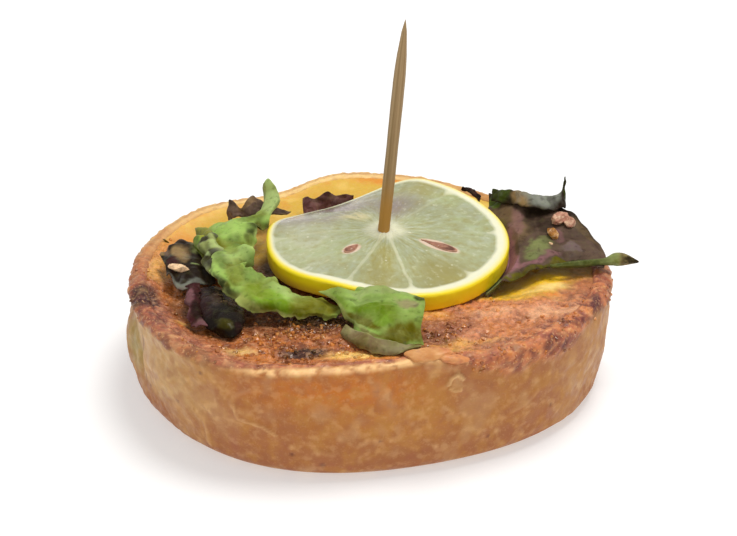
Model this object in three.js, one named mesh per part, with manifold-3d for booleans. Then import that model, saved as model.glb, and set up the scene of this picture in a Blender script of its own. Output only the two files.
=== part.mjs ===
// A small round quiche in its pastry case, garnished with lettuce leaves and a lemon slice that is
// pinned down by a bamboo pick. Millimetres, +Z up, the origin at the middle of the base it rests on.
// Headings are degrees anticlockwise from +X, seen from above, and the front of the quiche is -Y.
import * as THREE from "three";
import { mergeVertices } from "three/addons/utils/BufferGeometryUtils.js";
import Module from "manifold-3d";

const wasm = await Module();
wasm.setup();

// ---------------------------------------------------------------- driving dimensions

const RIM_RADIUS = 52.5; // mean outer radius of the case at its rim
const BASE_RADIUS = 51.2; // mean outer radius at the foot
const RIM_HEIGHT = 26.1;
const WALL = 3.8; // thickness of the baked pastry
const FLOOR = 3;
const FOOT_ROUND = 4; // rounding where the wall meets the base
const FILL_HEIGHT = 24.4; // level of the custard, before its lumps
const GAP = 0.3; // clearance between touching pieces
const ROUND_STEPS = 64; // facets round the case
const INNER_SHARE = 1 - WALL / RIM_RADIUS; // where the custard meets the pastry

// How far the hand-pressed outline swells from a circle: [swells, reach, heading of one swell].
const RIM_SWELLS = [
  [2, 2.1, 24],
  [3, 1.9, -25],
  [4, 1.2, -18],
  [5, 0.8, 15],
];
const FOOT_SWELLS = [
  [2, 1.9, 19],
  [3, 1.4, -32],
  [4, 1.3, -10],
  [5, 0.4, 21],
];
// Rises and dips of the rim: [heading, half-width in degrees, height].
const RIM_RISES = [
  [146, 14, 1.0],
  [119, 11, -0.9],
  [100, 11, 0.9],
  [57, 20, -0.7],
  [286, 6, 1.0],
  [303, 14, -0.7],
  [243, 13, -0.6],
];
// The dough's folded edge on the left of the wall, and the groove beside it.
const FOLD = { heading: 194, halfWidth: 7, height: 12.5, halfHeight: 8, reach: 1.1 };
const GROOVE = { heading: 205, halfWidth: 3, height: 14, halfHeight: 6, reach: -1.1 };
// A flake of pastry that lies over the front of the rim.
const FLAKE = { heading: 287, halfWidth: 4.5, reach: 0.9 };
// The neck under the rim on the left.
const PINCH = { heading: 192, halfWidth: 60, reach: 0.9 };
// A blister in the front wall.
const BLISTER = { heading: 292, halfWidth: 2.5, height: 19.5, halfHeight: 2.2, reach: 0.8 };
// How far the custard's edge stays below the rim all round, and where it has sunk further.
const EDGE_DROP = 1.2;
const EDGE_SINK = { heading: 178, halfWidth: 75, depth: 1.9 };
// Hollows and mounds of the custard: [x, y, half-width, height].
const CUSTARD_RELIEF = [
  [-33, -22, 13, -2.0],
  [-36, 14, 15, -0.9],
  [4, 34, 16, 1.1],
  [36, -18, 13, 0.7],
  [-6, -36, 8, 0.4],
  [20, 0, 14, -1.2], // where the lemon slice presses
  [27, -9, 10, -1.9],
];

const LEMON = {
  centre: new THREE.Vector3(4.6, 3, 32.6), // middle of the top face
  radius: 27.3,
  thickness: 4.1,
  pitch: 7, // degrees that the front edge hangs lower
  bank: 5, // degrees that the right edge hangs lower
  // How far the edge hangs down, as [depth, heading, half-width in degrees]: behind on the left, and on the left.
  droops: [
    [9.3, 125, 57.3],
    [3.1, 188, 60],
  ],
};
// Pips cut through with the slice: [distance from the middle, heading, length, width].
const PIPS = [
  [12.2, 229, 4.2, 2.2],
  [12.8, 336, 8.6, 2.4],
];
const PIP_DEPTH = 1.6;

const PICK = {
  tip: new THREE.Vector3(8.2, 2.4, 81.4),
  through: new THREE.Vector3(3.8, 2.4, 32), // where it enters the lemon
  radius: 1.35,
  length: 75,
  taper: 14, // length of the sharpened point
  hiddenTaper: 6,
};

const LEAF_THICKNESS = 0.8;
const LEAF_CLEARANCE = LEAF_THICKNESS / 2 + GAP + 0.25; // from a leaf's mid surface to what it lies on
const LEAF_SLOPE = 1.5; // how steeply a leaf leaves the lemon's edge

// Each leaf is stretched over a few curves that run along it, from one margin to the other, each of a few
// [x, y, z] points. Its margins are ruffled and toothed: [how many, how high]. It lies under, over or beside
// the lemon slice, and cells says how finely it is divided along and across.
const LEAVES = {
  green_leaf_left: {
    color: 0x7da04c,
    curves: [
      [[-25, 18.5, 36.8], [-25.5, 14.5, 32.5], [-37.5, 7.5, 30], [-38.5, -2, 29.5], [-32, -17.5, 29],
        [-25, -27, 28], [-16, -28.5, 27], [-6.5, -28.3, 26.5]],
      [[-23.5, 19.5, 38.2], [-23, 13.5, 34], [-31, 4.5, 32.5], [-31.5, -6, 31.5], [-28.5, -18.5, 31],
        [-23, -24.5, 30], [-15.5, -27, 29], [-5, -26.5, 27.3]],
      [[-21.8, 17.5, 37.2], [-20.5, 12, 33], [-25.5, 3.5, 32], [-25, -7.5, 31.5], [-26.5, -12.5, 30.5],
        [-21, -16, 30], [-13.5, -21.5, 29], [-6.5, -24.6, 28]],
    ],
    lies: "beside",
    ruffle: [6, 0.9],
    teeth: [9, 0.7],
    cells: [42, 8],
  },
  dark_leaf_left: {
    color: 0x4a4038,
    curves: [
      [[-47, -2, 28.5], [-45, 1.5, 29.5], [-41, 5, 28], [-36, 8, 26.5]],
      [[-45, -7, 28.5], [-42.5, -5.5, 28.5], [-38.5, -5, 28], [-34.5, -2.5, 26.5]],
      [[-44, -11.5, 27.5], [-41, -14.5, 26.5], [-37, -13, 26], [-33.5, -9, 25]],
    ],
    ruffle: [3, 0.7],
    teeth: [4, 0.8],
    cells: [18, 8],
  },
  dark_leaf_low: {
    color: 0x3a3024,
    curves: [
      [[-38, -16.5, 26.5], [-36.5, -24, 25.5], [-33.5, -30, 25], [-30, -33, 24]],
      [[-33.5, -13.5, 26], [-31, -26.5, 27.5], [-29, -32, 27], [-27.5, -34.5, 25]],
      [[-28.5, -16.5, 25], [-26, -25, 26], [-25.5, -30, 26], [-26, -32.5, 25]],
    ],
    ruffle: [2, 0.3],
    teeth: [3, 0.3],
    cells: [14, 8],
  },
  green_leaf_front: {
    color: 0x5f8a34,
    curves: [
      [[-10, -24, 30], [-3.5, -23.5, 30.5], [3.5, -23.5, 31], [12, -26.5, 30.5]],
      [[-6.5, -26, 29], [-2, -29.5, 30], [4, -31, 30.5], [12, -30.5, 30]],
      [[-4.5, -30, 27.5], [-0.5, -35.5, 28], [4.5, -38.5, 28.5], [11, -36, 28]],
      [[-4.5, -28.5, 26.5], [-1, -36.5, 26], [4.5, -40.5, 26], [11.5, -39.5, 26.5]],
    ],
    lies: "over",
    ruffle: [3, 0.4],
    teeth: [4, 0.5],
    cells: [20, 10],
  },
  dark_leaf_right: {
    color: 0x5a4a50,
    curves: [
      [[26, -15.5, 26], [31.5, -13, 26.5], [37, -10, 27], [43, -6.5, 27], [48, -7.5, 27.5], [52.8, -8, 27.8]],
      [[27.5, -2, 26.5], [33, -2.5, 28], [38.5, -1.5, 29], [44, 0, 29.5], [49, -1.5, 29], [53.6, -5, 28.5]],
      [[28.5, 14.5, 28], [33.5, 12.5, 30], [39.5, 12, 31], [44.5, 9.5, 31.5], [49, 4, 30], [53.6, -2, 29.2]],
      [[30, 29.5, 30.5], [34.5, 21.5, 32], [40, 16.5, 33], [45.5, 14, 34], [50, 8.5, 31.5], [52.8, 1, 30]],
    ],
    lies: "under",
    ruffle: [4, 0.4],
    teeth: [6, 0.5],
    cells: [25, 9],
  },
  purple_leaf_back_left: {
    color: 0x4a3438,
    curves: [
      [[-34, 21.5, 28], [-33, 21.5, 32], [-30.5, 19.5, 30.5], [-28, 22.5, 32.5], [-25, 23, 30.5],
        [-18.5, 22, 28.5]],
      [[-33.5, 20, 27], [-32, 18.5, 28.5], [-30, 18.5, 28.5], [-27, 18.5, 29], [-24, 19, 29],
        [-19.5, 21, 28]],
    ],
    lies: "beside",
    ruffle: [4, 0.3],
    teeth: [5, 0.3],
    cells: [22, 4],
  },
  purple_leaf_back: {
    color: 0x4a3040,
    curves: [
      [[-16, 29.5, 28.9], [-12.5, 29, 29.2], [-9.5, 29.4, 30.8], [-7.5, 30, 29.4], [-3.5, 31.5, 28.9]],
      [[-15.8, 26.8, 27.2], [-12.5, 27.4, 27.3], [-9.5, 28.4, 27.6], [-7.5, 29.2, 27.5], [-3.5, 31, 27.2]],
      [[-15.4, 24.5, 25.6], [-12.2, 26, 25.6], [-9.4, 27.4, 25.6], [-7.5, 28.4, 25.6], [-3.6, 30.4, 25.6]],
    ],
    lies: "beside",
    ruffle: [3, 0.3],
    teeth: [4, 0.3],
    cells: [16, 6],
  },
  purple_shred_back: {
    color: 0x3c2c30,
    curves: [
      [[24, 34.5, 30], [26.5, 35, 29], [28.5, 32.5, 28]],
      [[23.5, 34.5, 29], [26, 33.5, 28.5], [28, 30.5, 27.5]],
    ],
    ruffle: [1, 0.1],
    teeth: [1, 0.1],
    cells: [6, 2],
  },
};

// The stalk that the right leaf's front margin rolls up into: points and the radius at each.
const STALK = {
  points: [[41, -8, 27.6], [47, -7, 27.9], [53, -6.2, 28.6], [56.5, -5.6, 29], [60.5, -6.6, 28.8]],
  radii: [0.4, 0.8, 0.9, 1.3, 0.3],
  cells: [9, 7],
};
// Chips of nut on the leaves: the leaf, how far along and across it they lie, and [length, depth, height].
const NUT_CHIPS = [
  ["dark_leaf_left", 0.36, 0.6, [3.8, 2.6, 1.8]],
  ["dark_leaf_right", 0.62, 0.67, [4, 3.2, 3]],
  ["dark_leaf_right", 0.71, 0.76, [3.2, 2.8, 2.4]],
  ["dark_leaf_right", 0.55, 0.46, [3.4, 2.6, 2.2]],
];

// ---------------------------------------------------------------- small helpers

const rad = THREE.MathUtils.degToRad;
const lerp = THREE.MathUtils.lerp;
const smooth = THREE.MathUtils.smoothstep;

// 1 in the middle of a bell and 0 from its half-width outwards.
function bell(distance, halfWidth) {
  const t = Math.min(Math.abs(distance) / halfWidth, 1);
  return (1 - t * t) ** 2;
}

// The turn from one heading to another, between -180 and 180 degrees.
function turn(from, to) {
  return THREE.MathUtils.euclideanModulo(to - from + 180, 360) - 180;
}

function heading(x, y) {
  return THREE.MathUtils.radToDeg(Math.atan2(y, x));
}

// Smooth lumps between about -1 and 1, the same each time. The seed picks another set.
function lumps(x, y, seed) {
  return (
    (Math.sin(x + 1.7 * seed) * Math.cos(1.13 * y - 0.6 * seed) +
      0.6 * Math.sin(1.9 * x + 1.4 * y + 2.3 * seed) +
      0.4 * Math.cos(3.1 * y - 2.2 * x + seed)) /
    2
  );
}

// ---------------------------------------------------------------- the outline of the case

function swollen(radius, swells, deg) {
  let r = radius;
  for (const [count, reach, at] of swells) r += reach * Math.cos(count * rad(deg - at));
  return r;
}

function wallRadius(deg, z) {
  const foot = swollen(BASE_RADIUS, FOOT_SWELLS, deg);
  const rim = swollen(RIM_RADIUS, RIM_SWELLS, deg);
  return lerp(foot, rim, THREE.MathUtils.clamp(z / RIM_HEIGHT, 0, 1));
}

function rimRise(deg) {
  let rise = 0;
  for (const [at, halfWidth, height] of RIM_RISES) rise += height * bell(turn(at, deg), halfWidth * 1.6);
  return rise;
}

// 0 in the middle of the quiche and 1 at the outside of the rim.
function outlineShare(x, y) {
  return Math.hypot(x, y) / wallRadius(heading(x, y), RIM_HEIGHT);
}

function patch({ heading: at, halfWidth, height, halfHeight, reach }, deg, z) {
  return reach * bell(turn(at, deg), halfWidth) * bell(z - height, halfHeight);
}

// What the outside of the wall adds to its smooth radius.
function wallRelief(deg, z) {
  const belowRim = smooth(z, 16, 20) * (1 - smooth(z, 22, 25.5));
  const pinch = -PINCH.reach * belowRim * bell(turn(PINCH.heading, deg), PINCH.halfWidth);
  const belly = 0.5 * Math.sin((Math.PI * z) / RIM_HEIGHT);
  const flake = FLAKE.reach * bell(turn(FLAKE.heading, deg), FLAKE.halfWidth * 1.4) * smooth(z, 22.5, 25);
  const kneading = 0.35 * lumps(deg / 9, z / 4, 3);
  const patches = patch(FOLD, deg, z) + patch(GROOVE, deg, z) + patch(BLISTER, deg, z);
  return pinch + belly + flake + kneading + patches;
}

// The custard's top: lumpy in the middle, and baked up against the pastry at its edge.
function custardTop(x, y) {
  let z = FILL_HEIGHT + 0.35 * lumps(x / 7, y / 7, 1) + 0.25 * lumps(x / 3.4, y / 3.4, 5);
  for (const [cx, cy, halfWidth, height] of CUSTARD_RELIEF) {
    z += height * bell(Math.hypot(x - cx, y - cy), halfWidth * 1.5);
  }
  const deg = heading(x, y);
  const sink = EDGE_SINK.depth * bell(turn(EDGE_SINK.heading, deg), EDGE_SINK.halfWidth);
  const edge = RIM_HEIGHT + rimRise(deg) - EDGE_DROP - sink;
  return lerp(z, edge, smooth(outlineShare(x, y), 0.78, INNER_SHARE));
}

// The height of what the garnish lies on: custard inside the rim, pastry on it, nothing beyond.
function groundLevel(x, y) {
  const share = outlineShare(x, y);
  const crest = RIM_HEIGHT + rimRise(heading(x, y)) + 0.4;
  if (share > 1.03) return -Infinity;
  return lerp(custardTop(x, y), crest, smooth(share, INNER_SHARE - 0.04, INNER_SHARE));
}

// ---------------------------------------------------------------- solids

// A geometry without its seams, so that only shared corners are left.
function sealed(geometry) {
  const bare = geometry.index ? geometry.toNonIndexed() : geometry.clone();
  for (const name of Object.keys(bare.attributes)) if (name !== "position") bare.deleteAttribute(name);
  return mergeVertices(bare, 1e-4);
}

function toManifold(geometry) {
  const closed = sealed(geometry);
  return new wasm.Manifold(
    new wasm.Mesh({
      numProp: 3,
      vertProperties: new Float32Array(closed.attributes.position.array),
      triVerts: new Uint32Array(closed.index.array),
    }),
  );
}

function fromManifold(solid) {
  const mesh = solid.getMesh();
  const geometry = new THREE.BufferGeometry();
  geometry.setAttribute("position", new THREE.BufferAttribute(new Float32Array(mesh.vertProperties), 3));
  geometry.setIndex(new THREE.BufferAttribute(new Uint32Array(mesh.triVerts), 1));
  geometry.computeVertexNormals();
  return geometry;
}

// Moves every corner of a geometry to where the given function puts it.
function warp(geometry, place) {
  const corners = geometry.attributes.position;
  const p = new THREE.Vector3();
  for (let i = 0; i < corners.count; i++) {
    p.fromBufferAttribute(corners, i);
    place(p);
    corners.setXYZ(i, p.x, p.y, p.z);
  }
  geometry.computeVertexNormals();
  return geometry;
}

// A turned solid that stands on +Z, from [radius, height] pairs that start and end on the axis.
function turned(profile, steps) {
  const points = profile.map(([r, z]) => new THREE.Vector2(r, z));
  return new THREE.LatheGeometry(points, steps).rotateX(Math.PI / 2);
}

function finish(color, roughness) {
  return new THREE.MeshStandardMaterial({ color, roughness, metalness: 0 });
}

function node(name, geometry, material) {
  const mesh = new THREE.Mesh(geometry, material);
  mesh.name = name;
  return mesh;
}

// ---------------------------------------------------------------- pastry case and custard

// A quarter round from one profile point to the next, as [radius, height] pairs.
function quarterRound(cx, cz, radius, fromDeg, toDeg, steps) {
  const points = [];
  for (let i = 0; i <= steps; i++) {
    const a = rad(lerp(fromDeg, toDeg, i / steps));
    points.push([cx + radius * Math.cos(a), cz + radius * Math.sin(a)]);
  }
  return points;
}

// Swells a turned shape of nominal radius RIM_RADIUS out to the uneven outline.
function toOutline(p) {
  const deg = heading(p.x, p.y);
  const nominal = Math.hypot(p.x, p.y);
  let r = (nominal * wallRadius(deg, p.z)) / RIM_RADIUS;
  if (nominal > RIM_RADIUS - 0.6) r += wallRelief(deg, p.z);
  const inWall = smooth(nominal, RIM_RADIUS - 12, RIM_RADIUS - WALL);
  const lift = rimRise(deg) * smooth(p.z, 15, RIM_HEIGHT) * inWall;
  p.set(r * Math.cos(rad(deg)), r * Math.sin(rad(deg)), p.z + lift);
}

function pastryCase() {
  const outer = RIM_RADIUS;
  const inner = RIM_RADIUS - WALL;
  const rimRound = WALL / 2;
  const profile = [
    [0, 0],
    [outer * 0.6, 0],
    ...quarterRound(outer - FOOT_ROUND, FOOT_ROUND, FOOT_ROUND, -90, 0, 3),
    [outer, 8],
    [outer, 12],
    [outer, 16],
    [outer, 20],
    ...quarterRound(outer - rimRound, RIM_HEIGHT - rimRound, rimRound, 0, 180, 5),
    [inner, 12],
    [inner - 1, FLOOR],
    [0, FLOOR],
  ];
  return warp(turned(profile, ROUND_STEPS), toOutline);
}

function custardFilling() {
  const inner = RIM_RADIUS - WALL - GAP - 0.1;
  const rings = [1, 0.96, 0.89, 0.81, 0.72, 0.6, 0.47, 0.33, 0.17, 0];
  const profile = [
    [0, FLOOR + GAP],
    [inner - 1, FLOOR + GAP],
    [inner, 12],
    ...rings.map((share) => [inner * share, RIM_HEIGHT]),
  ];
  const solid = warp(turned(profile, ROUND_STEPS), (p) => {
    const onTop = p.z > RIM_HEIGHT - 1;
    toOutline(p);
    if (onTop) p.z = custardTop(p.x, p.y);
  });
  return fromManifold(toManifold(solid).subtract(toManifold(pickSleeve())));
}

// ---------------------------------------------------------------- lemon slice, pips and pick

// The height of the slice's top face over a point.
function lemonTop(x, y) {
  const dx = x - LEMON.centre.x;
  const dy = y - LEMON.centre.y;
  const share = Math.hypot(dx, dy) / LEMON.radius;
  const deg = heading(dx, dy);
  let sag = 0;
  for (const [depth, at, half] of LEMON.droops) sag += depth * share * share * bell(turn(at, deg), half);
  const wave = 0.25 * share * Math.sin(rad(3 * deg + 40));
  return LEMON.centre.z + dy * Math.tan(rad(LEMON.pitch)) - dx * Math.tan(rad(LEMON.bank)) - sag + wave;
}

function lemonEdge(deg) {
  return LEMON.radius + 0.5 * Math.cos(rad(2 * deg - 20)) + 0.25 * Math.cos(rad(5 * deg));
}

// A flat pip, pointed towards the middle of the slice and sunk in its face.
function pip([distance, deg, length, width], grow) {
  const blank = new THREE.SphereGeometry(1, 10, 8);
  return warp(blank, (p) => {
    const along = p.x * (length / 2 + grow);
    const point = 1 - 0.55 * smooth(-p.x, -0.2, 1.2);
    const across = p.y * (width / 2 + grow) * point;
    const deep = p.z * (PIP_DEPTH + grow);
    const c = Math.cos(rad(deg));
    const s = Math.sin(rad(deg));
    const x = LEMON.centre.x + (distance + along) * c - across * s;
    const y = LEMON.centre.y + (distance + along) * s + across * c;
    // Its upper half is cut off flat with the slice.
    p.set(x, y, lemonTop(x, y) + Math.min(deep, grow > 0 ? PIP_DEPTH : -0.05));
  });
}

function lemonSlice() {
  const { radius, thickness, centre } = LEMON;
  const round = 0.7;
  const profile = [
    [0, -thickness],
    [radius * 0.35, -thickness],
    [radius * 0.7, -thickness],
    [radius * 0.9, -thickness],
    ...quarterRound(radius - round, round - thickness, round, -90, 0, 2),
    ...quarterRound(radius - round, -round, round, 0, 90, 2),
    [radius * 0.9, 0],
    [radius * 0.72, 0],
    [radius * 0.5, 0],
    [radius * 0.28, 0],
    [0, 0],
  ];
  const disc = warp(turned(profile, 50), (p) => {
    const deg = heading(p.x, p.y);
    const r = (Math.hypot(p.x, p.y) * lemonEdge(deg)) / radius;
    const x = centre.x + r * Math.cos(rad(deg));
    const y = centre.y + r * Math.sin(rad(deg));
    const z = lemonTop(x, y) + p.z;
    p.set(x, y, p.z < -thickness / 2 ? Math.max(z, groundLevel(x, y) + 2 * GAP) : z);
  });
  let slice = toManifold(disc).subtract(toManifold(pickSleeve()));
  for (const shape of PIPS) slice = slice.subtract(toManifold(pip(shape, 1.5 * GAP)));
  return fromManifold(slice);
}

// The pick lies along +Z from its hidden end, before it is placed.
function pickBlank(grow) {
  const r = PICK.radius + grow;
  const end = PICK.length + grow;
  return turned(
    [
      [0, -grow],
      [0.5 + grow, -grow],
      [r, PICK.hiddenTaper],
      [r, PICK.length - PICK.taper],
      [r * 0.8, PICK.length - PICK.taper * 0.55],
      [r * 0.42, PICK.length - PICK.taper * 0.18],
      [0, end],
    ],
    12,
  );
}

const pickAxis = PICK.tip.clone().sub(PICK.through).normalize();
const pickPlace = {
  position: PICK.tip.clone().addScaledVector(pickAxis, -PICK.length),
  quaternion: new THREE.Quaternion().setFromUnitVectors(new THREE.Vector3(0, 0, 1), pickAxis),
};

// The channel that the pick leaves, a little wider than the pick.
function pickSleeve() {
  const sleeve = pickBlank(GAP).applyQuaternion(pickPlace.quaternion);
  return sleeve.translate(...pickPlace.position);
}

// ---------------------------------------------------------------- leaves

// A thin closed sheet of nu by nv cells, whose two faces are split alike.
function sheet(nu, nv, thickness, point) {
  const rows = [];
  for (let i = 0; i <= nu; i++) {
    const row = [];
    for (let j = 0; j <= nv; j++) row.push(point(i / nu, j / nv));
    rows.push(row);
  }
  const at = (i, j) => rows[THREE.MathUtils.clamp(i, 0, nu)][THREE.MathUtils.clamp(j, 0, nv)];
  const corners = [];
  for (const side of [1, -1]) {
    for (let i = 0; i <= nu; i++) {
      for (let j = 0; j <= nv; j++) {
        const along = at(i + 1, j).clone().sub(at(i - 1, j));
        const across = at(i, j + 1).clone().sub(at(i, j - 1));
        const normal = along.cross(across).normalize();
        corners.push(at(i, j).clone().addScaledVector(normal, (side * thickness) / 2));
      }
    }
  }
  const count = (nu + 1) * (nv + 1);
  const index = (i, j, face) => face * count + i * (nv + 1) + j;
  const triangles = [];
  const quad = (a, b, c, d) => triangles.push(a, b, c, a, c, d);
  for (let i = 0; i < nu; i++) {
    for (let j = 0; j < nv; j++) {
      const [a, b, c, d] = [index(i, j, 0), index(i + 1, j, 0), index(i + 1, j + 1, 0), index(i, j + 1, 0)];
      quad(a, b, c, d);
      triangles.push(a + count, c + count, b + count, a + count, d + count, c + count);
    }
    quad(index(i, 0, 0), index(i, 0, 1), index(i + 1, 0, 1), index(i + 1, 0, 0));
    quad(index(i, nv, 0), index(i + 1, nv, 0), index(i + 1, nv, 1), index(i, nv, 1));
  }
  for (let j = 0; j < nv; j++) {
    quad(index(0, j, 0), index(0, j + 1, 0), index(0, j + 1, 1), index(0, j, 1));
    quad(index(nu, j, 0), index(nu, j, 1), index(nu, j + 1, 1), index(nu, j + 1, 0));
  }
  const geometry = new THREE.BufferGeometry().setFromPoints(corners);
  geometry.setIndex(triangles);
  geometry.computeVertexNormals();
  return geometry;
}

// The point at share t of the smooth curve through some points.
function curvePoint(points, t) {
  return new THREE.CatmullRomCurve3(points, false, "catmullrom", 0.5).getPoint(t);
}

// Keeps a point of a leaf's mid surface off the pastry and custard, and under, over or beside the lemon.
function settle(p, lies) {
  const dx = p.x - LEMON.centre.x;
  const dy = p.y - LEMON.centre.y;
  const beyond = Math.hypot(dx, dy) - lemonEdge(heading(dx, dy));
  const corner = Math.sqrt(Math.max(LEAF_CLEARANCE ** 2 - Math.max(beyond, 0) ** 2, 0));
  const lift = corner - LEAF_SLOPE * Math.max(beyond - LEAF_CLEARANCE, 0);
  const top = lemonTop(p.x, p.y);
  const bottom = top - LEMON.thickness;
  if (lies === "over") p.z = Math.max(p.z, top + lift);
  if (lies === "under") p.z = Math.min(p.z, bottom - lift);
  if (lies === "beside" && beyond < LEAF_CLEARANCE && p.z > bottom - LEAF_CLEARANCE) {
    const push = (LEAF_CLEARANCE - beyond) / Math.hypot(dx, dy);
    p.x += dx * push;
    p.y += dy * push;
  }
  p.z = Math.max(p.z, groundLevel(p.x, p.y) + LEAF_CLEARANCE);
  return p;
}

// A leaf whose margins are at v = 0 and v = 1 across its curves.
function leafPoint({ curves, ruffle, teeth, lies }, u, v) {
  const nets = curves.map((curve) => curve.map((p) => new THREE.Vector3(...p)));
  const at = (s, t) => curvePoint(nets.map((net) => curvePoint(net, s)), t);
  const step = 0.01;
  const p = at(u, v);
  const lengthwise = at(Math.min(u + step, 1), v).sub(at(Math.max(u - step, 0), v));
  const outward = at(u, Math.min(v + step, 1)).sub(at(u, Math.max(v - step, 0))).normalize();
  const normal = lengthwise.cross(outward).normalize();
  const margin = (2 * v - 1) ** 2;
  const side = Math.sign(v - 0.5);
  const wave = Math.sin(2 * Math.PI * ruffle[0] * u + 1.9 * side);
  const tooth = Math.sin(2 * Math.PI * teeth[0] * u + 0.8 * side);
  p.addScaledVector(normal, ruffle[1] * margin * wave);
  p.addScaledVector(outward, teeth[1] * margin ** 2 * side * tooth);
  return settle(p, lies);
}

// A round rod along a curve, with its radius given at even steps.
function rod({ points, radii, cells }) {
  const spine = points.map((p) => new THREE.Vector3(...p));
  const up = new THREE.Vector3(0, 0, 1);
  const blank = new THREE.CylinderGeometry(1, 1, 1, cells[1], cells[0]);
  return warp(blank, (p) => {
    const t = THREE.MathUtils.clamp(p.y + 0.5, 0, 1);
    const behind = curvePoint(spine, Math.max(t - 0.02, 0));
    const ahead = curvePoint(spine, Math.min(t + 0.02, 1)).sub(behind).normalize();
    const side = new THREE.Vector3().crossVectors(ahead, up).normalize();
    const rise = new THREE.Vector3().crossVectors(side, ahead);
    const radius = curvePoint(radii.map((r) => new THREE.Vector3(r, 0, 0)), t).x;
    const middle = curvePoint(spine, t);
    p.copy(middle.addScaledVector(side, p.x * radius).addScaledVector(rise, p.z * radius));
  });
}

// A broken chip with a few flat facets, its middle a little above the given point.
function chip(at, [length, depth, height]) {
  return warp(new THREE.IcosahedronGeometry(0.5, 0), (p) => {
    const rough = 1 + 0.2 * Math.sin(7 * p.x + 5 * p.y + at.x);
    p.multiply(new THREE.Vector3(length, depth, height)).multiplyScalar(rough).add(at);
    p.z += 0.25 * height;
  });
}

// A leaf with what is stuck to it.
function garnishLeaf(name) {
  const { cells } = LEAVES[name];
  let whole = toManifold(sheet(cells[0], cells[1], LEAF_THICKNESS, (u, v) => leafPoint(LEAVES[name], u, v)));
  for (const [leaf, u, v, size] of NUT_CHIPS) {
    if (leaf === name) whole = whole.add(toManifold(chip(leafPoint(LEAVES[name], u, v), size)));
  }
  if (name === "dark_leaf_right") whole = whole.add(toManifold(rod(STALK)));
  return fromManifold(whole);
}

// ---------------------------------------------------------------- the quiche

function bakedPastry() {
  return finish(0xc89858, 0.75);
}

function bakedCustard() {
  return finish(0xd88a3c, 0.55);
}

function lemonFlesh() {
  return finish(0xd8d890, 0.35);
}

function lemonPipSkin() {
  return finish(0x8a5a44, 0.5);
}

function bamboo() {
  return finish(0xc0965c, 0.6);
}

function lettuce(color) {
  return finish(color, 0.6);
}

function bambooPick() {
  const pick = node("bamboo_pick", pickBlank(0), bamboo());
  pick.position.copy(pickPlace.position);
  pick.quaternion.copy(pickPlace.quaternion);
  return pick;
}

const quiche = new THREE.Group();
quiche.add(node("pastry_case", pastryCase(), bakedPastry()));
quiche.add(node("custard_filling", custardFilling(), bakedCustard()));
quiche.add(node("lemon_slice", lemonSlice(), lemonFlesh()));
PIPS.forEach((shape, i) => quiche.add(node(`lemon_pip_${i + 1}`, pip(shape, 0), lemonPipSkin())));
quiche.add(bambooPick());
for (const [name, { color }] of Object.entries(LEAVES)) {
  quiche.add(node(name, garnishLeaf(name), lettuce(color)));
}

export default quiche;
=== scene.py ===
"""The finished look of a small garnished quiche: a pastry case with a browned rim, baked egg filling, lettuce
leaves with chips of nut, and a lemon slice pinned down by a bamboo pick. Shapes are worked out in millimetres,
+Z up, with headings in degrees anticlockwise from +X, and become metres when they are made into meshes."""

import math
from functools import partial
from types import SimpleNamespace

import bpy
import numpy as np
from mathutils import Euler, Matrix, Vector


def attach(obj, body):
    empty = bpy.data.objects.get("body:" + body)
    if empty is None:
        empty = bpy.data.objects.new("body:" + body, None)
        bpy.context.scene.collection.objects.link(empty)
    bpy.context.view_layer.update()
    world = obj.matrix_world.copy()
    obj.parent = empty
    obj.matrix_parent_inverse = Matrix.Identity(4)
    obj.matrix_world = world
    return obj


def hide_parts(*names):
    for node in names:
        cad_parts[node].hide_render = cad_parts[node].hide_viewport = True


bl_info = {
    "name": "Garnished Quiche",
    "version": (1, 0, 0),
    "blender": (4, 5, 0),
    "location": "View3D > Sidebar > Quiche",
    "description": "Makes a quiche with a lemon slice and lettuce round a packed frame",
    "category": "Object",
}

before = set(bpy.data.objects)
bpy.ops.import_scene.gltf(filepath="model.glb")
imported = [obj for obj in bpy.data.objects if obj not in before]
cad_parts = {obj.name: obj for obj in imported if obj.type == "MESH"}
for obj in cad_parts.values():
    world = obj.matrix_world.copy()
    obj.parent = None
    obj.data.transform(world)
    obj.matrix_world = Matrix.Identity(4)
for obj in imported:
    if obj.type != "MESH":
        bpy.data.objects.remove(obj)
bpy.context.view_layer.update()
MM = 0.001

# ---------------- the sizes that the frame was made with

RIM_RADIUS, BASE_RADIUS, RIM_HEIGHT = 52.5, 51.2, 26.1
WALL, FLOOR, FOOT_ROUND, FILL_HEIGHT = 3.8, 3, 4, 24.4
INNER_RADIUS = RIM_RADIUS - WALL
INNER_SHARE = 1 - WALL / RIM_RADIUS
# Swells of an outline: how many round it, height and heading.
RIM_SWELLS = [(2, 2.1, 24), (3, 1.9, -25), (4, 1.2, -18), (5, 0.8, 15)]
FOOT_SWELLS = [(2, 1.9, 19), (3, 1.4, -32), (4, 1.3, -10), (5, 0.4, 21)]
# Where the rim rises or sinks: heading, half-width in degrees and height.
RIM_RISES = [(146, 14, 1), (119, 11, -0.9), (100, 11, 0.9), (57, 20, -0.7)]
RIM_RISES += [(286, 6, 1), (303, 14, -0.7), (243, 13, -0.6)]
# Patches of relief on the wall: heading, half-width in degrees, height, half-height and reach.
WALL_PATCHES = [(194, 7, 12.5, 8, 1.1), (205, 3, 14, 6, -1.1), (292, 2.5, 19.5, 2.2, 0.5)]
EDGE_DROP, EDGE_SINK = 1.2, (178, 75, 1.9)
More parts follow.
